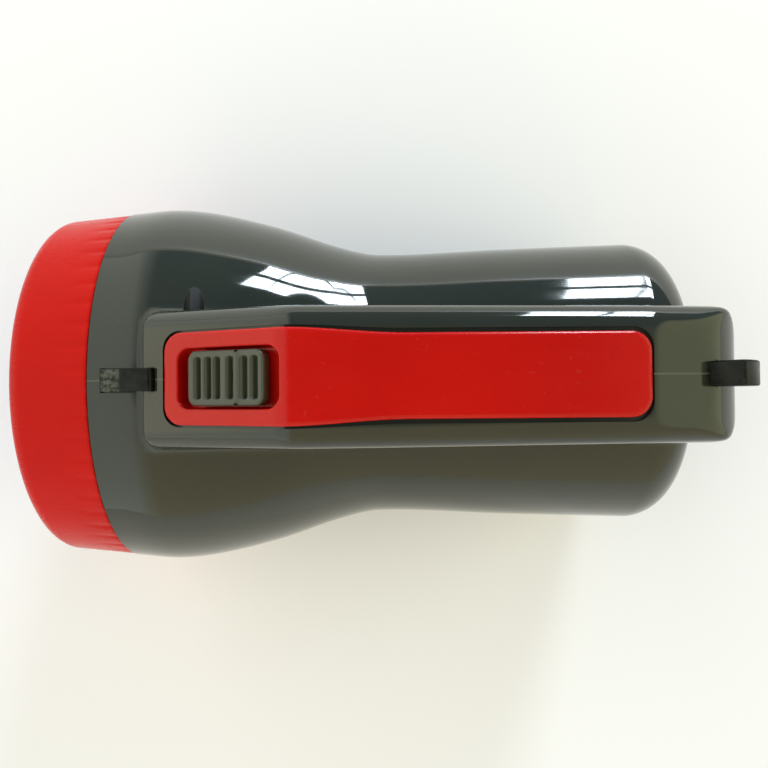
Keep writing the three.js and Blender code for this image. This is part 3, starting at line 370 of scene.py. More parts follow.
def handle_field(x, y, z, inset=0.0, top_inset=0.0):
    width = lerp(HANDLE_REAR_WIDTH, HANDLE_FRONT_WIDTH, x / HANDLE_FRONT)
    top = handle_top_field(x, z) + top_inset
    side = np.abs(y) - width / 2 - HANDLE_DRAFT * (HANDLE_TOP - z) + inset
    rear = HANDLE_SETBACK + inset - x
    front = x - HANDLE_FRONT + inset
    field, *others = (
        oval_in(top, rear, HANDLE_REAR_FALL - inset, HANDLE_REAR_REACH - inset),
        round_in(top, side, HANDLE_SHOULDER - inset),
        round_in(side, rear, HANDLE_REAR_CORNER),
        round_in(side, front, HANDLE_END_RADIUS),
        round_in(top, front, HANDLE_FRONT_EDGE),
    )
    for other in others:
        field = soft_max(field, other, HANDLE_FRONT_EDGE)
    return np.maximum(field, HANDLE_ROOT - OVERRUN - z)


def finger_field(x, z, grow=0.0):
    """The space for the fingers, open downward."""
    top = z - FINGER_TOP - grow
    rear = round_in(top, FINGER_REAR - grow - x, FINGER_REAR_RADIUS + grow)
    front = round_in(top, x - FINGER_FRONT - grow, FINGER_FRONT_RADIUS + grow)
    return np.maximum(rear, front)


def shell_field(x, y, z):
    handle = round_in(handle_field(x, y, z), -finger_field(x, z), GRIP_EDGE)
    solid = soft_min(body_field(x, y, z), handle, ROOT_FILLET)
    return np.maximum(solid, x - SEAM - OVERRUN)


def hollow_field(x, y, z):
    handle = np.maximum(handle_field(x, y, z, WALL, HANDLE_TOP_WALL), -finger_field(x, z, WALL))
    room = np.minimum(body_field(x, y, z, WALL, REAR_WALL), handle)
    return np.maximum(room, x - SEAM + WALL)


def on_slope(x, z):
    """Place down the slope from the crease, and height square to the slope."""
    down = (x - CREASE) * math.cos(SLOPE) - (z - HANDLE_TOP) * math.sin(SLOPE)
    rise = (x - CREASE) * math.sin(SLOPE) + (z - HANDLE_TOP) * math.cos(SLOPE)
    return down, rise


def slot_down(down, y, start, end, width, radius):
    """A rounded slot that runs down the slope from start to end."""
    lengthways = np.abs(down - (start + end) / 2) - (end - start) / 2
    return round_in(lengthways, np.abs(y) - width / 2, radius)


def along_insert(x, narrow, wide):
    """What is narrow along the insert's grip and wide along its slope."""
    return lerp(narrow, wide, smoothstep((x - INSERT_NARROW) / (CREASE - INSERT_NARROW)))


def insert_field(x, y, z):
    top = handle_top_field(x, z) - INSERT_PROUD
    side = np.abs(y) - along_insert(x, *INSERT_WIDTHS) / 2
    ends = np.maximum(INSERT_REAR - x, x - INSERT_FRONT)
    strip = round_in(top, round_in(side, ends, INSERT_CORNER), INSERT_EDGE)
    strip = np.maximum(strip, -top - INSERT_DEPTH - INSERT_PROUD + FIT_GAP)
    down, rise = on_slope(x, z)
    opening = slot_down(down, y, POCKET_START, POCKET_END, POCKET_WIDTH, POCKET_CORNER)
    pan = np.maximum(opening - PAN_WALL, rise + INSERT_DEPTH / 2)
    pan = np.maximum(pan, -rise - POCKET_DEPTH - PAN_WALL)
    pocket = round_in(opening, -rise - POCKET_DEPTH, POCKET_LIP)
    solid = round_in(np.minimum(strip, pan), -pocket, POCKET_LIP)
    return np.maximum(solid, -slot_down(down, y, *LEVER_SLOT, FIT_GAP))


def cap_field(down, y, rise):
    """The thumb cap, drawn on the slope: rounded ridges between grooves, and a bar across it."""
    length = CAP_END - CAP_START
    from_front = CAP_END - down
    bar = np.exp(-((from_front - CAP_BAR_SHARE * length) / CAP_BAR_REACH) ** 2)
    furrows = sum(
        np.exp(-((from_front - share * length) / GROOVE_REACH) ** 2) for share in GROOVE_SHARES
    )
    within = smoothstep((GROOVE_LENGTH / 2 - np.abs(y)) / GROOVE_RUN_OUT + 0.5)
    top = rise - CAP_RISE + CAP_BAR_HEIGHT * (1 - bar) + GROOVE_DEPTH * furrows * within
    undercut = CAP_UNDERCUT * (CAP_RISE - rise) * from_front / length
    plan = slot_down(down - undercut, y, CAP_START, CAP_END, CAP_WIDTH, CAP_CORNER)
    cap = round_in(plan, top, CAP_EDGE)
    cap = np.maximum(cap, FIT_GAP - POCKET_DEPTH - rise)
    notch = np.hypot(from_front - CAP_BAR_SHARE * length, np.abs(y) - CAP_WIDTH / 2)
    notch = np.maximum(notch - CAP_NOTCH_RADIUS, -rise - CAP_NOTCH_DROP)
    cap = round_in(cap, -notch, CAP_NOTCH_EDGE)
    slot_from, slot_to, slot_width = LEVER_SLOT
    socket = slot_down(down, y, slot_from + LEVER_TRAVEL, slot_to, slot_width, FIT_GAP)
    return np.maximum(cap, -np.maximum(socket, rise + CAP_SOCKET_ROOF))


# Meshes

def gradient(field, points, reach=0.02):
    steps = np.eye(3) * reach
    rises = [field(*(points + step).T) - field(*(points - step).T) for step in steps]
    return np.stack(rises, -1) / (2 * reach)


def unit(vectors):
    return vectors / (np.linalg.norm(vectors, axis=1)[:, None] + 1e-9)


def settle(field, points, rounds=3):
    """Moves points onto a field's surface."""
    for _ in range(rounds):
        slope = gradient(field, points)
        steep = np.maximum((slope ** 2).sum(-1), 0.05)
        points = points - slope * (field(*points.T) / steep)[:, None]
    return points


def surface(field, low, high, step):
    """A closed mesh of four-sided faces on a field's zero surface."""
    low, high = np.array(low, float), np.array(high, float)
    counts = np.ceil((high - low) / step).astype(int) + 1
    axes = [low[i] + step * np.arange(counts[i]) for i in range(3)]
    grid = field(*np.meshgrid(*axes, indexing="ij"))
    cells = (grid < 0).astype(int)
    for axis in range(3):
        cells = np.delete(cells, -1, axis) + np.delete(cells, 0, axis)
    crossed = (cells > 0) & (cells < 8)
    index = np.full(crossed.shape, -1)
    index[crossed] = np.arange(crossed.sum())
    total = np.zeros((crossed.sum(), 3))
    hits = np.zeros(crossed.sum())
    quads = []
    for axis in range(3):
        a, b = np.delete(grid, -1, axis), np.delete(grid, 0, axis)
        crossing = (a < 0) != (b < 0)
        edges, start, end = np.argwhere(crossing), a[crossing], b[crossing]
        place = edges.astype(float)
        place[:, axis] += start / (start - end)
        u, v = np.eye(3, dtype=int)[[(axis + 1) % 3, (axis + 2) % 3]]
        around = np.stack([edges, edges - u, edges - u - v, edges - v], 1)
        corners = index[tuple(np.moveaxis(around, -1, 0))]
        np.add.at(total, corners.ravel(), np.repeat(place, 4, 0))
        np.add.at(hits, corners.ravel(), 1)
        flip = start > 0
        corners[flip] = corners[flip][:, ::-1]
        quads.append(corners)
    points = low + step * total / hits[:, None]
    faces = np.concatenate(quads)
    points = settle(field, points)
    links = np.concatenate([faces[:, [i, (i + 1) % 4]] for i in range(4)])
    for _ in range(2):
        mean, count = np.zeros_like(points), np.zeros(len(points))
        np.add.at(mean, links[:, 0], points[links[:, 1]])
        np.add.at(count, links[:, 0], 1)
        points = settle(field, lerp(points, mean / count[:, None], 0.5), 2)
    return points, faces.tolist()


def loft(rings):
    """A closed solid through rings of equal point counts."""
    rings = np.array(rings, float)
    count = rings.shape[1]
    ring, corner = np.arange(len(rings) - 1)[:, None] * count, np.arange(count)
    a, b = ring + corner, ring + (corner + 1) % count
    quads = np.stack([a, b, b + count, a + count], -1).reshape(-1, 4).tolist()
    last = rings.size // 3
    caps = [list(range(count))[::-1], list(range(last - count, last))]
    return rings.reshape(-1, 3), quads + caps


def lathe(profile, segments, ripple=None):
    """A solid turned about the beam axis from a closed outline of (along, radius) points."""
    along, radius = np.array(profile, float).T
    angle = 2 * math.pi * np.arange(segments)[:, None] / segments
    reach = radius + (ripple(along, radius, angle) if ripple else 0 * angle)
    points = np.stack([along + 0 * angle, reach * np.cos(angle), reach * np.sin(angle)], -1)
    count = len(along)
    turn, corner = np.arange(segments)[:, None], np.arange(count)
    after, beside = (turn + 1) % segments, (corner + 1) % count
    here, ahead = turn * count, after * count
    quads = np.stack([here + corner, here + beside, ahead + beside, ahead + corner], -1)
    return points.reshape(-1, 3), quads.reshape(-1, 4).tolist()


def quarter_round(along, up, reach, out, steps):
    """A quarter of an ellipse about (along, up), from its tip on the axis out to its side."""
    turns = np.linspace(0, math.pi / 2, steps)
    return [(along + reach * math.cos(a), up + out * math.sin(a)) for a in turns]


def circle(radius, up=0.0, across=0.0, sides=40):
    angles = 2 * math.pi * np.arange(sides) / sides
    return [(across + radius * math.cos(a), up + radius * math.sin(a)) for a in angles]


def round_corners(corners, steps=4):
    """A closed outline through (x, y, radius) corners, each rounded by its own radius."""
    outline = []
    for i, (x, y, radius) in enumerate(corners):
        here = Vector((x, y))
        if not radius:
            outline.append(here)
            continue
        back = (Vector(corners[i - 1][:2]) - here).normalized()
        ahead = (Vector(corners[(i + 1) % len(corners)][:2]) - here).normalized()
        half = back.angle(ahead) / 2
        centre = here + (back + ahead).normalized() * radius / math.sin(half)
        start = here + back * radius / math.tan(half) - centre
        sweep = start.angle_signed(here + ahead * radius / math.tan(half) - centre)
        turns = [Matrix.Rotation(-sweep * step / steps, 2) for step in range(steps + 1)]
        outline += [centre + turn @ start for turn in turns]
    return [tuple(p) for p in outline]


def plate_across(outline, width):
    """An outline in along and up, given a width across."""
    return loft([[(x, side * width / 2, z) for x, z in outline] for side in (-1, 1)])


def block_along(start, end, outline):
    """An outline in across and up, run along from start to end."""
    return loft([[(x, y, z) for y, z in outline] for x in (start, end)])


def rectangle(width, height, radius=0.0, up=0.0, across=0.0, steps=6):
    corners = [(across + y * width / 2, up + z * height / 2, radius) for y, z in SQUARE]
    return round_corners(corners, steps)


def box_between(low, high):
    (x, y, z), (far_x, far_y, far_z) = low, high
    return block_along(x, far_x, [(y, z), (far_y, z), (far_y, far_z), (y, far_z)])


def bar_across(along, up, start, end, radius):
    return loft([[(x, y, z) for x, z in circle(radius, up, along)] for y in (start, end)])


def thread_ridge(wall, height, start, turns, steps=72):
    """A right-handed ridge round the beam axis, its root sunk into the wall."""
    root, tip = wall - math.copysign(THREAD_SINK, height), wall + height
    root_half, tip_half = THREAD_ROOT / 2, THREAD_TIP / 2
    corners = [(-root_half, root), (root_half, root), (tip_half, tip), (-tip_half, tip)]
    rings = []
    for i in range(round(turns * steps) + 1):
        angle, middle = 2 * math.pi * i / steps, start + THREAD_PITCH * i / steps
        rings.append([(middle + x, r * math.cos(angle), r * math.sin(angle)) for x, r in corners])
    return loft(rings)


def add_object(name, data):
    obj = bpy.data.objects.new(name, data)
    scene.collection.objects.link(obj)
    return obj


def make_mesh(name, points, faces):
    """An object in the row's frame from points in millimetres."""
    mesh = bpy.data.meshes.new(name)
    mesh.from_pydata(((np.array(points) + START) * MM).tolist(), [], faces)
    work = bmesh.new()
    work.from_mesh(mesh)
    bmesh.ops.remove_doubles(work, verts=work.verts, dist=SAME_PLACE)
    bmesh.ops.recalc_face_normals(work, faces=work.faces)
    work.to_mesh(mesh)
    work.free()
    return add_object(name, mesh)


def combine(obj, operation, shapes):
    """Joins a piece with helper solids, or cuts it with them, and clears them away."""
    for i, shape in enumerate(shapes):
        tool = shape if isinstance(shape, bpy.types.Object) else make_mesh(f"tool_{i}", *shape)
        modifier = obj.modifiers.new("combine", "BOOLEAN")
        modifier.operation, modifier.solver, modifier.object = operation, "MANIFOLD", tool
        apply_modifiers(obj)
        bpy.data.objects.remove(tool)
    return obj


def apply_modifiers(obj):
    shown = obj.evaluated_get(bpy.context.evaluated_depsgraph_get())
    made = bpy.data.meshes.new_from_object(shown)
    obj.modifiers.clear()
    made.materials.clear()
    obj.data = made


def bevel(obj, width, segments=3, angle=35):
    modifier = obj.modifiers.new("edges", "BEVEL")
    modifier.width = width * MM
    modifier.segments = segments
    modifier.limit_method = "ANGLE"
    modifier.angle_limit = math.radians(angle)
    modifier.harden_normals = True
    return obj


def smooth(obj, angle=32):
    obj.data.shade_smooth()
    obj.data.set_sharp_from_angle(angle=math.radians(angle))
    return obj


def turned(name, profile, segments=TURNED_SIDES, place=(0, 0, 0)):
    """A smooth piece turned about the beam axis, then moved to its place."""
    points, faces = lathe(profile, segments)
    return smooth(make_mesh(name, points + place, faces))


def field_normals(obj, field, slack=0.06):
    """Shades the faces on a field's surface by the field itself, so that gloss runs true."""
    mesh = obj.data
    points = np.array([vertex.co for vertex in mesh.vertices]) / MM - START
    near = np.abs(field(*points.T)) < slack
    at_corner = np.array([corner.vertex_index for corner in mesh.loops])
    sizes = [face.loop_total for face in mesh.polygons]
    facing = np.repeat([tuple(face.normal) for face in mesh.polygons], sizes, 0)
    wanted = unit(gradient(field, points))[at_corner]
    true = near[at_corner] & ((wanted * facing).sum(1) > SAME_FACING)
    mesh.normals_split_custom_set(np.where(true[:, None], wanted, 0).tolist())


def finish_piece(obj, node, paint, body="torch"):
    """Puts a piece in a CAD node's place, with its material, under its body's empty, and hides the
    node.
    """
    obj.data.materials.clear()
    obj.data.materials.append(paints[paint])
    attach(obj, body)
    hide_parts(node)


# Places of the CAD's own pieces

def node_box(name):
    """A CAD node's lowest and highest corners, in millimetres from the rear face and the axis."""
    return [np.array(corner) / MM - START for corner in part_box(name)]


def node_middle(name):
    low, high = node_box(name)
    return (low + high) / 2


SCREWS = {f"shell_screw_{i}": node_middle(f"shell_screw_{i}")[[0, 2]] for i in range(1, 6)}


# Materials: each is one shader with its colour, gloss and relief varied by noise

class Nodes:
    """A short way to write a material's or the world's nodes."""

    def __init__(self, tree, place="Object"):
        self.tree = tree
        self.place = self.add("TexCoord").outputs[place]

    def add(self, kind, **inputs):
        node = self.tree.nodes.new("ShaderNode" + kind)
        for key, value in inputs.items():
            self.put(node.inputs[key.replace("_", " ")], value)
        return node

    def put(self, socket, value):
        if isinstance(value, bpy.types.NodeSocket):
            self.tree.links.new(value, socket)
        else:
            socket.default_value = value

    def maths(self, kind, operation, *values):
        """A step of arithmetic on numbers (Math) or on places (VectorMath), as its outputs."""
        made = self.add(kind)
        made.operation = operation
        for socket, value in zip(made.inputs, values):
            self.put(socket, value)
        return made.outputs

    def axis(self, name):
        return self.add("SeparateXYZ", Vector=self.place).outputs[name]

    def noise(self, scale, detail, roughness=0.5, stretch=(1, 1, 1)):
        """Noise from 0 to 1, whose marks are 1 / scale metres wide."""
        place = self.add("Mapping", Vector=self.place, Scale=stretch).outputs[0]
        made = self.add("TexNoise", Vector=place, Scale=scale, Detail=detail, Roughness=roughness)
        return made.outputs["Fac"]

    def ramp(self, value, low, high, start=0, end=1):
        limits = {"From_Min": low, "From_Max": high, "To_Min": start, "To_Max": end}
        return self.add("MapRange", Value=value, **limits).outputs[0]

    def mix(self, share, first, second):
        made = self.add("Mix")
        made.data_type = "RGBA"
        for i, value in ((0, share), (6, first), (7, second)):
            self.put(made.inputs[i], value)
        return made.outputs[2]

    def near_lines(self, lines, radius):
        """1 inside a radius of lines that run across, each at its place along and up, else 0."""
        flat = self.maths("VectorMath", "MULTIPLY", self.place, (1, 0, 1))[0]
        nearest = 1.0
        for x, z in lines:
            away = self.maths("VectorMath", "DISTANCE", flat, (x, 0, z))["Value"]
            nearest = self.maths("Math", "MINIMUM", away, nearest)[0]
        return self.ramp(nearest, radius + 0.05 * MM, radius + 0.1 * MM, 1, 0)


# Noise by its use: its marks per metre, its detail, and for gloss its roughness and stretch. A
# range is the part of the noise over which its effect grows from none to full.
CLOUD_RANGE = (0.35, 0.7)
GLOSS_NOISE, GLOSS_RANGE = (60, 5, 0.65, (1, 4, 1)), (0.3, 0.75)
WORN_NOISE, WORN_RANGE = (1100, 3), (0.38, 0.62)
SPECK_NOISE, SPECK_RANGE = (900, 2), (0.68, 0.76)
WAVE_NOISE, GRAIN_NOISE = (45, 1), (2200, 2)

# Colours from 0 to 255: painted highlight on the parting line, the worn tongue, painted shade in
# the screws' counterbores, dust
PARTING_HIGHLIGHT_COLOUR = (150, 150, 132)
WORN_COLOURS = (34, 36, 31), (84, 87, 76)
BORE_SHADE_COLOUR = (13, 14, 11)
DUST_COLOUR = (190, 188, 180)
BORE_ROUGHNESS = 0.6
ACRYLIC_IOR = 1.49
WORN_REACH = 2


def linear(colour):
    """A colour written as 0 to 255, as the shader wants it."""
    shares = [part / 255 for part in colour]
    bright = [s / 12.92 if s <= 0.04045 else ((s + 0.055) / 1.055) ** 2.4 for s in shares]
    return (*bright, 1.0)


paints = {}


def new_material(name):
    """A material, and the inputs of its shader."""
    material = bpy.data.materials.new(name)
    material.use_nodes = True
    return material, material.node_tree.nodes["Principled BSDF"].inputs


def moulded(
    name, colour, shade, gloss, *, waves=0.0, grain=0.0, dust=0.03, metal=0.0, specular=0.5,
    clouds=28, parting_highlight=0.0, shaded_bores=(), worn=None, clear=0.0,
):
    """Moulded plastic or metal: colour to shade in soft clouds, roughness and relief by noise; on
    request a painted highlight along the parting line and painted shade in the screws'
    counterbores.
    """
    material, shader = new_material(name)
    n = Nodes(material.node_tree)
    tint = n.mix(n.ramp(n.noise(clouds, 4), *CLOUD_RANGE), linear(colour), linear(shade))
    # A painted highlight: a lighter band along the parting line, added to the light its rounded
    # edge catches.
    if parting_highlight:
        off_centre = n.maths("Math", "ABSOLUTE", n.axis("Y"))[0]
        line = n.ramp(off_centre, 0.6 * PARTING_ROUND * MM, PARTING_ROUND * MM, parting_highlight, 0)
        tint = n.mix(line, tint, linear(PARTING_HIGHLIGHT_COLOUR))
    if worn:
        rubbed = n.mix(n.ramp(n.noise(*WORN_NOISE), *WORN_RANGE), *map(linear, WORN_COLOURS))
        tint = n.mix(n.ramp(n.axis("X"), worn, worn + WORN_REACH * MM), tint, rubbed)
    roughness = n.ramp(n.noise(*GLOSS_NOISE), *GLOSS_RANGE, *gloss)
    # Painted shade: the insides of the screws' counterbores on the right half are darkened and made
    # rougher, where shade falls.
    if shaded_bores:
        on_right = n.ramp(n.axis("Y"), -MM, 0, 1, 0)
        inside = n.near_lines(shaded_bores, COUNTERBORE_RADIUS * MM)
        inside = n.maths("Math", "MULTIPLY", inside, on_right)[0]
        tint = n.mix(inside, tint, linear(BORE_SHADE_COLOUR))
        roughness = n.ramp(inside, 0, 1, roughness, BORE_ROUGHNESS)
    specks = n.ramp(n.noise(*SPECK_NOISE), *SPECK_RANGE, 0, dust)
    wanted = {
        "Base Color": n.mix(specks, tint, linear(DUST_COLOUR)), "Roughness": roughness,
        "Metallic": metal, "Specular IOR Level": specular,
    }
    if clear:
        wanted |= {"Transmission Weight": 1.0, "IOR": clear}
    relief = {}
    for noise, height in ((WAVE_NOISE, waves), (GRAIN_NOISE, grain)):
        if height:
            relief |= {"Height": n.noise(*noise), "Distance": height * MM}
            relief["Normal"] = wanted["Normal"] = n.add("Bump", **relief).outputs[0]
    for socket, value in wanted.items():
        n.put(shader[socket], value)
    paints[name] = material


# The shell, with a painted highlight along its parting line and painted shade in its screws'
# counterbores.
moulded(
    "dark_olive_gloss", (44, 46, 35), (39, 41, 31), (0.03, 0.08), waves=0.02, dust=0.02, parting_highlight=0.4,
    shaded_bores=[((x + START[0]) * MM, (z + START[2]) * MM) for x, z in SCREWS.values()],
)
moulded(
    "bezel_red", (196, 17, 6), (186, 12, 3), (0.24, 0.34),
    waves=0.008, grain=0.0015, dust=0.01, specular=0.1,
)
moulded(
    "insert_red", (191, 15, 4), (180, 11, 3), (0.16, 0.26), waves=0.02, grain=0.003, specular=0.25,
)
moulded("cap_olive", (66, 68, 54), (58, 60, 47), (0.28, 0.4), grain=0.006)
moulded(
    "black_plastic", (18, 19, 16), (13, 14, 11), (0.25, 0.4), waves=0.03, grain=0.01,
)
moulded(
    "strap_eye_black", (10, 11, 9), (26, 28, 23), (0.22, 0.45),
    waves=0.03, grain=0.02, specular=0.15, clouds=420,
    worn=(FRONT_EYE_FRONT + START[0]) * MM,
)
moulded("gasket_rubber", (36, 36, 36), (28, 28, 28), (0.7, 0.85), grain=0.01)
moulded("plated_steel", (176, 178, 180), (150, 152, 156), (0.22, 0.4), grain=0.003, metal=1)
moulded("aluminium", (188, 190, 194), (170, 172, 178), (0.3, 0.45), grain=0.006, metal=1)
moulded(
    "reflector_chrome", (232, 232, 236), (226, 226, 231), (0.02, 0.05), waves=0.05, metal=1,
)
moulded("board_phenolic", (150, 116, 62), (134, 100, 50), (0.45, 0.6), grain=0.01)
moulded("battery_case", (38, 41, 46), (30, 33, 38), (0.35, 0.5), grain=0.012)
moulded("capacitor_brown", (160, 92, 34), (140, 78, 26), (0.25, 0.4), waves=0.03)
moulded("indicator_red", (190, 26, 20), (170, 18, 14), (0.08, 0.16))
moulded("wire_red", (176, 28, 20), (156, 22, 16), (0.4, 0.55), grain=0.008)
moulded("wire_black", (26, 27, 28), (20, 21, 22), (0.4, 0.55), grain=0.008)
moulded("emitter_yellow", (236, 214, 92), (226, 196, 70), (0.12, 0.2), waves=0.01)
moulded(
    "lens_clear", (244, 248, 250), (240, 246, 249), (0.01, 0.03),
    waves=0.01, dust=0, clear=ACRYLIC_IOR,
)


# The two halves of the body and handle

def insert_recess():
    """The cutter for the insert's seat, wider than the insert by a gap all round."""
    start, end = INSERT_REAR - RECESS_GAPS[1], INSERT_FRONT + RECESS_GAPS[1]
    steps = 1 - np.cos(np.linspace(0, math.pi / 2, 12))
    stations = np.unique(np.concatenate([
        start + INSERT_CORNER * steps, np.linspace(start + INSERT_CORNER, end - INSERT_CORNER, 70),
        [CREASE], end - INSERT_CORNER * steps,
    ]))
    rings = []
    for x in stations:
        reach = max(INSERT_CORNER - min(x - start, end - x), 0)
        half = along_insert(x, *INSERT_WIDTHS) / 2 + along_insert(x, *RECESS_GAPS) - INSERT_CORNER
        half += math.sqrt(max(INSERT_CORNER ** 2 - reach ** 2, 0))
        top = HANDLE_TOP - max(x - CREASE, 0) * math.tan(SLOPE)
        low, high = top - INSERT_DEPTH, top + OVERRUN
        rings.append([(x, -half, low), (x, half, low), (x, half, high), (x, -half, high)])
    return loft(rings)


def to_slope(points):
    """Moves points drawn on the slope to their place on the handle."""
    down, y, rise = np.array(points, float).T
    x = CREASE + down * math.cos(SLOPE) + rise * math.sin(SLOPE)
    z = HANDLE_TOP - down * math.sin(SLOPE) + rise * math.cos(SLOPE)
    return np.stack([x, y, z], -1)


def pan_room():
    grow = PAN_WALL + FIT_GAP
    length, width = POCKET_END - POCKET_START + 2 * grow, POCKET_WIDTH + 2 * grow
    plan = rectangle(length, width, POCKET_CORNER + grow, across=(POCKET_START + POCKET_END) / 2)
    heights = (-POCKET_DEPTH - grow, OVERRUN)
    points, faces = loft([[(x, y, rise) for x, y in plan] for rise in heights])
    return to_slope(points), faces


def rear_eye_outline(grow=0.0):
    """A bow round the handle's rear corner: a sloped foot on top, a foot square to the corner."""
    radius, last, (near, far) = REAR_EYE_RADIUS, REAR_EYE_LAST, REAR_EYE_BENDS
    first = math.asin(near / radius)
    near, far = near - grow, far + grow

    def reach(angle, inward=0.0):
        rise = REAR_EYE_RISE * (1 - smoothstep((angle - first) / (last - first)))
        return radius + rise + grow - inward

    def place(angle, out):
        return tuple(np.array(REAR_EYE_CENTRE) + [-out * math.sin(angle), out * math.cos(angle)])

    thickness, seat = EYE_BAR + 2 * grow, REAR_EYE_SEAT - grow
    foot_from = math.asin((REAR_EYE_FOOT[0] - grow) / seat)
    foot_to = math.asin((REAR_EYE_FOOT[1] + grow) / seat)
    end = last + grow / radius
    foot = thickness / (radius - EYE_BAR)
    outer = np.linspace(math.asin(near / reach(first)), end, 24)
    inner = np.linspace(end - foot, math.asin(far / reach(first, thickness)), 24)
    return [
        place(foot_from, seat), *(place(a, reach(a)) for a in outer),
        place(end, seat), place(end - foot, seat),
        *(place(a, reach(a, thickness)) for a in inner), place(foot_to, seat),
    ]


def front_eye_outline(grow=0.0):
    """A bar bent over the handle's front end, with a tongue that lies forward on the head."""
    rear, front, tip = FRONT_EYE_REAR - grow, FRONT_EYE_FRONT + grow, FRONT_EYE_TIP + grow
    slope_z = HANDLE_TOP - (FRONT_EYE_REAR - CREASE) * math.tan(SLOPE)
    head_z, tip_z = (float(radius_at(along)) for along in (FRONT_EYE_FRONT, tip))
    top_rear, top_front = slope_z + FRONT_EYE_RISE + grow, head_z + FRONT_EYE_HEAD + grow
    rear_foot, front_foot = slope_z - EYE_FOOT - grow, tip_z - EYE_FOOT - grow
    inner, shoulder = FRONT_EYE_REAR + EYE_BAR + grow, FRONT_EYE_FRONT - EYE_BAR
    drop, bend = EYE_BAR + 2 * grow, EYE_BAR / 2
    return round_corners([
        (rear, rear_foot, 0), (rear, top_rear, bend), (shoulder, top_front, 2 * bend),
        (front, top_front - bend / 2, bend / 2), (front, head_z + FRONT_EYE_TONGUE_RISE + grow, 0),
        (tip, tip_z + FRONT_EYE_TONGUE_RISE / 2 + grow, 0), (tip, front_foot, 0),
        (shoulder - grow, front_foot, 0), (shoulder - grow, top_front - drop, bend / 2),
        (inner, top_rear - drop, 0), (inner, rear_foot, 0),
    ])


def inlet_outline(grow=0.0):
    width, height = (side + 2 * grow for side in INLET_SIZE)
    return rectangle(width, height, INLET_ROUND + grow, up=-INLET_DROP, steps=8)


def supports():
    """What stands inside the shell: ribs and clamp posts for the battery, slots for the board."""
    battery_low, battery_high = node_box("battery")
    board_low, board_high = node_box("charger_board")
    clamp, top = node_middle("battery_clamp")[0], battery_high[2]
    shapes = [
        box_between((x - RIB_HALF, -HEAD_RADIUS, -AXIS_HEIGHT), (x + RIB_HALF, HEAD_RADIUS, top))
        for x in (battery_low[0] + RIB_SETBACK, clamp)
    ]
    for name in ("clamp_screw_left", "clamp_screw_right"):
        ring = circle(POST_RADIUS, node_middle(name)[1], clamp)
        shapes.append(loft([[(x, y, z) for x, y in ring] for z in (top - POST_HEIGHT, top)]))
    rear, front = board_low[0] - CARD_WALL - FIT_GAP, board_high[0] + CARD_WALL + FIT_GAP
    slots = [
        box_between((rear, low, board_low[2]), (front, high, board_high[2]))
        for low, high in ((-HEAD_RADIUS, -CARD_INNER), (CARD_INNER, HEAD_RADIUS))
    ]
    slack, board_slack = [FIT_GAP + OVERRUN, FIT_GAP, FIT_GAP], [FIT_GAP, FIT_GAP, CARD_DROP]
    made = []
    for name, (first, *others), room in (
        ("cradle", shapes, box_between(battery_low - slack, battery_high + slack)),
        ("cards", slots, box_between(board_low - board_slack, board_high + board_slack)),
    ):
        support = combine(make_mesh(name, *first), "UNION", others)
        made.append(combine(support, "DIFFERENCE", [room]))
    return made


def shell_blank():
    """Both halves of the moulding in one, before they are parted."""
    blank = make_mesh("shell_blank", *surface(shell_field, *SHELL_GRID))
    hollow = make_mesh("hollow", *surface(hollow_field, *HOLLOW_GRID))
    far, outside = HEAD_RADIUS, HEAD_RADIUS + OVERRUN
    bosses = [bar_across(*place, -far, far, SCREW_BOSS_RADIUS) for place in SCREWS.values()]
    combine(hollow, "DIFFERENCE", [*supports(), *bosses])
    ahead = box_between((SEAM, -outside, -outside - OVERRUN), (FRONT, outside, HANDLE_TOP))
    bore_outline = circle(COLLAR_BORE, sides=TURNED_SIDES)
    bore = block_along(SEAM - WALL - OVERRUN, SEAM + OVERRUN, bore_outline)
    rear = SEAM - WALL / 2
    collar = make_mesh("collar", *lathe([
        (rear, COLLAR_BORE), (COLLAR_END, COLLAR_BORE),
        (COLLAR_END, COLLAR_RADIUS), (rear, COLLAR_RADIUS),
    ], TURNED_SIDES))
    ridge = thread_ridge(COLLAR_RADIUS, THREAD_HEIGHT, THREAD_START, COLLAR_TURNS)
    combine(collar, "UNION", [ridge])
    combine(blank, "DIFFERENCE", [hollow, ahead, bore])
    combine(blank, "UNION", [collar])
    eyes = (rear_eye_outline(FIT_GAP), front_eye_outline(FIT_GAP))
    openings = (inlet_outline(FIT_GAP), circle(INDICATOR_RADIUS + FIT_GAP, INDICATOR_HEIGHT))
    cuts = [
        insert_recess(), pan_room(),
        *(plate_across(eye, EYE_WIDTH + 2 * FIT_GAP) for eye in eyes),
        *(block_along(-OVERRUN, REAR_WALL + OVERRUN, opening) for opening in openings),
    ]
    for place in SCREWS.values():
        cuts.append(bar_across(*place, -outside, -SCREW_SEAT, COUNTERBORE_RADIUS))
        cuts.append(bar_across(*place, -SCREW_SEAT - OVERRUN, SCREW_TIP, SCREW_HOLE_RADIUS))
    return combine(blank, "DIFFERENCE", cuts)


def ease_parting(half, side):
    """Rounds a half's outer edge where it meets the other, so that the line catches light."""
    work = bmesh.new()
    work.from_mesh(half.data)
    radius = PARTING_ROUND
    for share in (1, 0.6, 0.3):
        everything = [*work.verts, *work.edges, *work.faces]
        place = (0, side * share * radius * MM, 0)
        bmesh.ops.bisect_plane(work, geom=everything, plane_co=place, plane_no=(0, 1, 0))
    edge = [v for v in work.verts if abs(v.co.y) < (radius - PARTING_SLACK) * MM]
    points = np.array([v.co for v in edge]) / MM - START
    outside = np.abs(shell_field(*points.T)) < 5 * PARTING_SLACK
    slope = unit(gradient(shell_field, points) * [1, 0, 1])
    drop = radius - np.sqrt(radius ** 2 - (radius - np.abs(points[:, 1])) ** 2)
    moved = (points - slope * drop[:, None] + START) * MM
    for vertex, place, out in zip(edge, moved, outside):
        if out:
            vertex.co = place
    work.to_mesh(half.data)
    work.free()


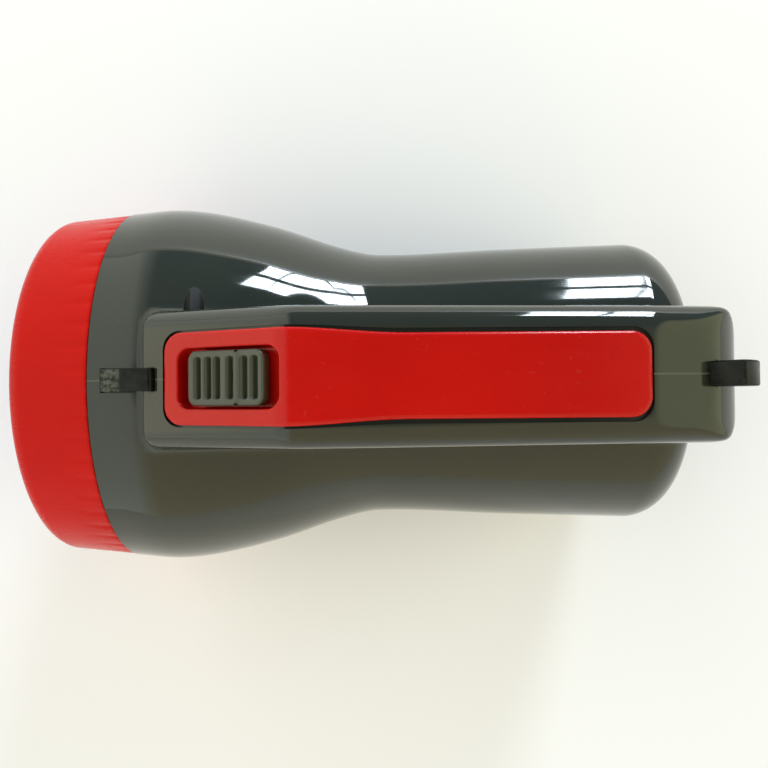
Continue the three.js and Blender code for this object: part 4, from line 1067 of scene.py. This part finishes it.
def build_shells():
    blank = shell_blank()
    far = HEAD_RADIUS + OVERRUN
    for name, side in (("left_shell", 1), ("right_shell", -1)):
        half = add_object(f"{name}_moulding", blank.data.copy())
        near_y, far_y = sorted((side * PARTING_GAP / 2, side * far))
        combine(half, "INTERSECT", [
            box_between((-OVERRUN, near_y, -far - OVERRUN), (FRONT, far_y, HANDLE_TOP + OVERRUN)),
        ])
        ease_parting(half, side)
        field_normals(smooth(half), shell_field)
        finish_piece(half, name, "dark_olive_gloss")
    bpy.data.objects.remove(blank)


# The bezel and what it holds

def flutes(along, radius, angle):
    """Soft grooves in the bezel's skirt, deepest at the seam and gone before the front."""
    on_skirt = (radius > BEZEL_BORE + 1).astype(float)
    fade = 1 - smoothstep((along - SEAM) / FLUTE_REACH)
    wave = 0.5 - 0.5 * np.cos(BEZEL_FLUTES * angle)
    return -FLUTE_DEPTH * on_skirt * fade * wave ** 3


def build_bezel():
    rear, nose_rear, lip_rear = SEAM + FIT_GAP, FRONT - BEZEL_ROUND, FRONT - BEZEL_LIP
    skirt = [
        (x, lerp(BEZEL_REAR_RADIUS, BEZEL_FRONT_RADIUS, (x - rear) / (nose_rear - rear)))
        for x in np.linspace(rear + BEZEL_REAR_EDGE, nose_rear, 24)
    ]
    nose = quarter_round(nose_rear, BEZEL_FRONT_RADIUS - BEZEL_ROUND, BEZEL_ROUND, BEZEL_ROUND, 12)
    ease = 0.3 * BEZEL_REAR_EDGE
    profile = [
        (rear, BEZEL_BORE), (rear, BEZEL_REAR_RADIUS - BEZEL_REAR_EDGE),
        (rear + ease, BEZEL_REAR_RADIUS - ease), *skirt, *nose[-2::-1],
        *((FRONT - drop, BEZEL_LIP_RADIUS + out) for out, drop in BEZEL_FACE),
        (lip_rear, BEZEL_LIP_RADIUS), (lip_rear, BEZEL_BORE),
    ]
    ring = make_mesh("bezel_ring_moulding", *lathe(profile, BEZEL_FLUTES * FLUTE_SIDES, flutes))
    thread_from = THREAD_START + THREAD_PITCH / 2
    combine(ring, "UNION", [thread_ridge(BEZEL_BORE, -THREAD_HEIGHT, thread_from, BEZEL_TURNS)])
    finish_piece(smooth(ring, 40), "bezel_ring", "bezel_red", "bezel")


def build_lens():
    """The lens, and the gasket behind the bezel's lip."""
    for name, form, inner, edge, paint in (
        ("front_lens", "clear", ON_AXIS / 10, 0, "lens_clear"),
        ("lens_gasket", "ring", LENS_RADIUS - GASKET_WIDTH, LENS_EDGE, "gasket_rubber"),
    ):
        low, high = node_box(name)
        profile = round_corners([
            (low[0], inner, edge), (low[0], LENS_RADIUS, LENS_EDGE),
            (high[0], LENS_RADIUS, LENS_EDGE), (high[0], inner, edge),
        ])
        finish_piece(turned(f"{name}_{form}", profile), name, paint, body="lens_pack")


def build_reflector():
    apex = REFLECTOR_FRONT - REFLECTOR_DEPTH
    focal = REFLECTOR_MOUTH ** 2 / (4 * REFLECTOR_DEPTH)
    floor, flange_rear = apex - REFLECTOR_WALL, REFLECTOR_FRONT - REFLECTOR_FLANGE
    neck, neck_rear = LAMP_NECK_BORE + REFLECTOR_WALL, floor - LAMP_NECK_LENGTH
    inside, outside = [], []
    for r in np.linspace(REFLECTOR_HOLE, REFLECTOR_MOUTH, 60):
        inside.append((apex + r * r / (4 * focal), r))
    for r in np.linspace(REFLECTOR_MOUTH, neck, 30)[1:]:
        thickness = REFLECTOR_WALL / math.cos(math.atan(r / (2 * focal)))
        outside.append((apex + r * r / (4 * focal) - thickness, r))
    profile = [
        *inside, (REFLECTOR_FRONT, LENS_RADIUS), (flange_rear, LENS_RADIUS),
        (flange_rear, REFLECTOR_MOUTH + REFLECTOR_WALL), *outside,
        (neck_rear, neck), (neck_rear, LAMP_NECK_BORE),
        (floor, LAMP_NECK_BORE), (floor, REFLECTOR_HOLE),
    ]
    finish_piece(turned("reflector_bowl", profile), "reflector", "reflector_chrome")


# Grip insert, switch cap and strap eyes

def build_insert():
    insert = make_mesh("grip_insert_moulding", *surface(insert_field, *INSERT_GRID))
    field_normals(smooth(insert, 50), insert_field, 0.02)
    finish_piece(insert, "grip_insert", "insert_red")


def build_cap():
    points, faces = surface(cap_field, *CAP_GRID)
    cap = smooth(make_mesh("switch_cap_moulding", to_slope(points), faces), 50)
    finish_piece(cap, "switch_cap", "cap_olive", "switch_slider")


def build_eyes():
    eyes = (("rear_strap_eye", rear_eye_outline()), ("front_strap_eye", front_eye_outline()))
    for name, outline in eyes:
        eye = make_mesh(f"{name}_moulding", *plate_across(outline, EYE_WIDTH))
        apply_modifiers(bevel(eye, EYE_EDGE, 4))
        finish_piece(smooth(eye), name, "strap_eye_black")


def build_screws():
    """Pan-head screws with a cross recess, whose heads face the right side."""
    for name, (along, up) in SCREWS.items():
        (_, head, _), (_, tip, _) = node_box(name)
        seat = head + SCREW_HEAD_HEIGHT
        rim, dome = seat - SCREW_RIM, SCREW_RIM - SCREW_HEAD_HEIGHT
        behind_head, before_tip = SCREW_PLAIN_ENDS
        shank = []
        for y in np.arange(seat + behind_head, tip - before_tip, SCREW_PITCH):
            shank += [(y, SCREW_ROOT_RADIUS), (y + SCREW_PITCH / 2, SCREW_SHANK_RADIUS)]
        points, faces = lathe([
            *quarter_round(rim, ON_AXIS, dome, SCREW_HEAD_RADIUS, 10),
            (seat, SCREW_HEAD_RADIUS), (seat, SCREW_NECK_RADIUS), *shank,
            *((tip - back, radius) for back, radius in SCREW_POINT),
        ], 40)
        screw = make_mesh(f"{name}_cross", points[:, [1, 0, 2]] + [along, 0, up], faces)
        floor = head + SCREW_CROSS_DEPTH
        combine(screw, "DIFFERENCE", [
            box_between((along - x, head - 1, up - z), (along + x, floor, up + z))
            for x, z in (SCREW_CROSS, SCREW_CROSS[::-1])
        ])
        finish_piece(smooth(screw), name, "plated_steel")


def build_inlet():
    """A two-pin charging inlet: a rounded cup through the rear wall, with a flange inside it."""
    floor, flange = INLET_DEPTH - INLET_FLOOR, REAR_WALL + FIT_GAP
    pins = {name: node_middle(name)[1:] for name in ("inlet_pin_left", "inlet_pin_right")}
    cup = make_mesh("charge_inlet_cup", *block_along(0, INLET_DEPTH, inlet_outline()))
    combine(cup, "UNION", [block_along(flange, flange + INLET_FLANGE, inlet_outline(INLET_FLANGE))])
    holes = [circle(INLET_PIN_RADIUS + FIT_GAP, up, across, 24) for across, up in pins.values()]
    combine(cup, "DIFFERENCE", [
        block_along(-OVERRUN, floor, inlet_outline(-INLET_WALL)),
        *(block_along(floor - OVERRUN, INLET_DEPTH + OVERRUN, hole) for hole in holes),
    ])
    apply_modifiers(bevel(cup, INLET_EDGE, 3, 50))
    finish_piece(smooth(cup), "charge_inlet", "black_plastic")
    radius, narrow = INLET_PIN_RADIUS, INLET_PIN_RADIUS - INLET_PIN_EDGE
    for name, (across, up) in pins.items():
        (tip, _, _), (end, _, _) = node_box(name)
        profile = [
            *quarter_round(tip + radius, ON_AXIS, -radius, radius, 12),
            (end - INLET_PIN_EDGE, radius), (end, narrow), (end, ON_AXIS),
        ]
        pin = turned(f"{name}_round", profile, 40, (0, across, up))
        finish_piece(pin, name, "plated_steel")


def build_lamps():
    """The charge indicator behind the rear wall and the emitter in the reflector."""
    end, radius = node_box("charge_indicator")[1][0], INDICATOR_RADIUS
    profile = [
        *quarter_round(INDICATOR_RECESS + radius, ON_AXIS, -radius, radius, 14),
        (INDICATOR_STEM, radius), (INDICATOR_STEM, INDICATOR_FLANGE),
        (end, INDICATOR_FLANGE), (end, ON_AXIS),
    ]
    lamp = turned("charge_indicator_dome", profile, 48, (0, 0, INDICATOR_HEIGHT))
    finish_piece(lamp, "charge_indicator", "indicator_red")
    rear, dome = node_box("led_emitter")[0][0], EMITTER_DOME
    base, root = rear + EMITTER_BASE, rear + EMITTER_BASE / 2
    outline = rectangle(EMITTER_SIDE, EMITTER_SIDE, EMITTER_CORNER)
    chip = make_mesh("led_emitter_die", *block_along(rear, base, outline))
    profile = [(root, ON_AXIS), (root, dome), *quarter_round(base, ON_AXIS, dome, dome, 14)[::-1]]
    combine(chip, "UNION", [lathe(profile, 48)])
    finish_piece(smooth(chip), "led_emitter", "emitter_yellow")


build_shells()
build_bezel()
build_lens()
build_reflector()
build_insert()
build_cap()
build_eyes()
build_screws()
build_inlet()
build_lamps()

# What stays as the CAD has it: its own edges softened, and a material for each
CAD_EDGE = 0.2
CAD_FINISHES = {
    "aluminium": "led_board heat_sink",
    "plated_steel": "battery_terminal_positive battery_terminal_negative battery_clamp"
                    " clamp_screw_left clamp_screw_right",
    "black_plastic": "switch_lever switch_body charger_rectifier",
    "battery_case": "battery", "board_phenolic": "charger_board",
    "capacitor_brown": "charger_capacitor",
    "wire_red": "battery_lead_positive switch_lead lamp_lead_positive",
    "wire_black": "battery_lead_negative lamp_lead_negative",
}
for paint, names in CAD_FINISHES.items():
    for name in names.split():
        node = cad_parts[name]
        node.data.materials.clear()
        node.data.materials.append(paints[paint])
        if "lead" not in name:
            bevel(node, CAD_EDGE, 2)


# Camera, lights, floor

CAMERA_PLACE = Vector((-0.00565, 0.00477, 0.3195))
CAMERA_AIM = Vector((-0.00565, 0.00055, 0.0595))
CAMERA_LENS = 35.6
CAMERA_ROLL = math.radians(-0.46)

forward = (CAMERA_AIM - CAMERA_PLACE).normalized()
up = (Vector((0, -1, 0)) + forward.y * forward).normalized()
right = forward.cross(up)
turn = Matrix((right, up, -forward)).transposed() @ Matrix.Rotation(CAMERA_ROLL, 3, "Z")
camera = add_object("camera", bpy.data.cameras.new("camera"))
camera.data.lens = CAMERA_LENS
camera.data.sensor_width = 36
camera.data.clip_start = 0.01
camera.matrix_world = Matrix.Translation(CAMERA_PLACE) @ turn.to_4x4()
scene.camera = camera


# A window stands low on the right, split by its bars, at degrees round and degrees up
WINDOW_PANES = [(-104.9, 16), (-111.1, 16), (-104.9, 4), (-111.1, 4)]
WINDOW_DISTANCE = 3.0
WINDOW_PANE_SIZE = (0.29, 0.48)
WINDOW_POWER = 18
WINDOW_COLOUR = (0.80, 0.92, 1.0)
WINDOW_AIM = Vector((0, 0, 0.07))


def direction(*degrees):
    """Towards so many degrees round and so many up."""
    a, e = map(math.radians, degrees)
    return Vector((math.cos(a) * math.cos(e), math.sin(a) * math.cos(e), math.sin(e)))


for i, pane in enumerate(WINDOW_PANES):
    lamp = bpy.data.lights.new(f"window_{i}", "AREA")
    lamp.shape = "RECTANGLE"
    lamp.size, lamp.size_y = WINDOW_PANE_SIZE
    lamp.energy, lamp.color = WINDOW_POWER, WINDOW_COLOUR
    window = add_object(f"window_{i}", lamp)
    offset = direction(*pane) * WINDOW_DISTANCE
    window.location = WINDOW_AIM + offset
    window.rotation_euler = (-offset).to_track_quat("-Z", "Y").to_euler()

# The room round the object: shade toward the window, and over it a warm wall, the front and the
# ceiling, each as its axis, where it starts, where it is full, and its colour; then soft panels,
# each as degrees round and up, its half-width and blur in degrees, and its colour
SHADE = (0.09, 0.18, 0.34, 1)
WALLS = [
    ("Y", -0.35, 0.3, (0.92, 0.82, 0.58, 1)),
    ("X", 0.2, 0.36, (1.25, 1.33, 1.25, 1)),
    ("Z", 0.92, 0.97, (0.17, 0.19, 0.19, 1)),
]
PANELS = [
    (180, 28, 38, 6, (1.32, 1.36, 0.9, 1)),
    (0, 16, 22, 14, (1.75, 1.75, 1.4, 1)),
]
ROOM_STRENGTH = 1.08
FLOOR_REACH = 30
FLOOR_COLOUR = (0.96, 0.925, 0.99, 1)
FLOOR_ROUGHNESS = 0.9

world = bpy.data.worlds.new("studio")
scene.world = world
world.use_nodes = True
n = Nodes(world.node_tree, "Generated")
room = SHADE
for axis, start, end, colour in WALLS:
    room = n.mix(n.ramp(n.axis(axis), start, end), room, colour)
for *centre, reach, blur, colour in PANELS:
    toward = n.maths("VectorMath", "DOT_PRODUCT", n.place, direction(*centre))["Value"]
    edge, core = (math.cos(math.radians(reach + side * blur / 2)) for side in (1, -1))
    room = n.mix(n.ramp(toward, edge, core), room, colour)
background = world.node_tree.nodes["Background"]
n.put(background.inputs["Color"], room)
n.put(background.inputs["Strength"], ROOM_STRENGTH)

corners = [(x * FLOOR_REACH, y * FLOOR_REACH, 0) for x, y in SQUARE]
floor_mesh = bpy.data.meshes.new("floor")
floor_mesh.from_pydata(corners, [], [(0, 1, 2, 3)])
floor = add_object("floor", floor_mesh)
floor_paint, floor_shader = new_material("floor")
floor_shader["Base Color"].default_value = FLOOR_COLOUR
floor_shader["Roughness"].default_value = FLOOR_ROUGHNESS
floor_mesh.materials.append(floor_paint)

scene.view_settings.view_transform = "Standard"
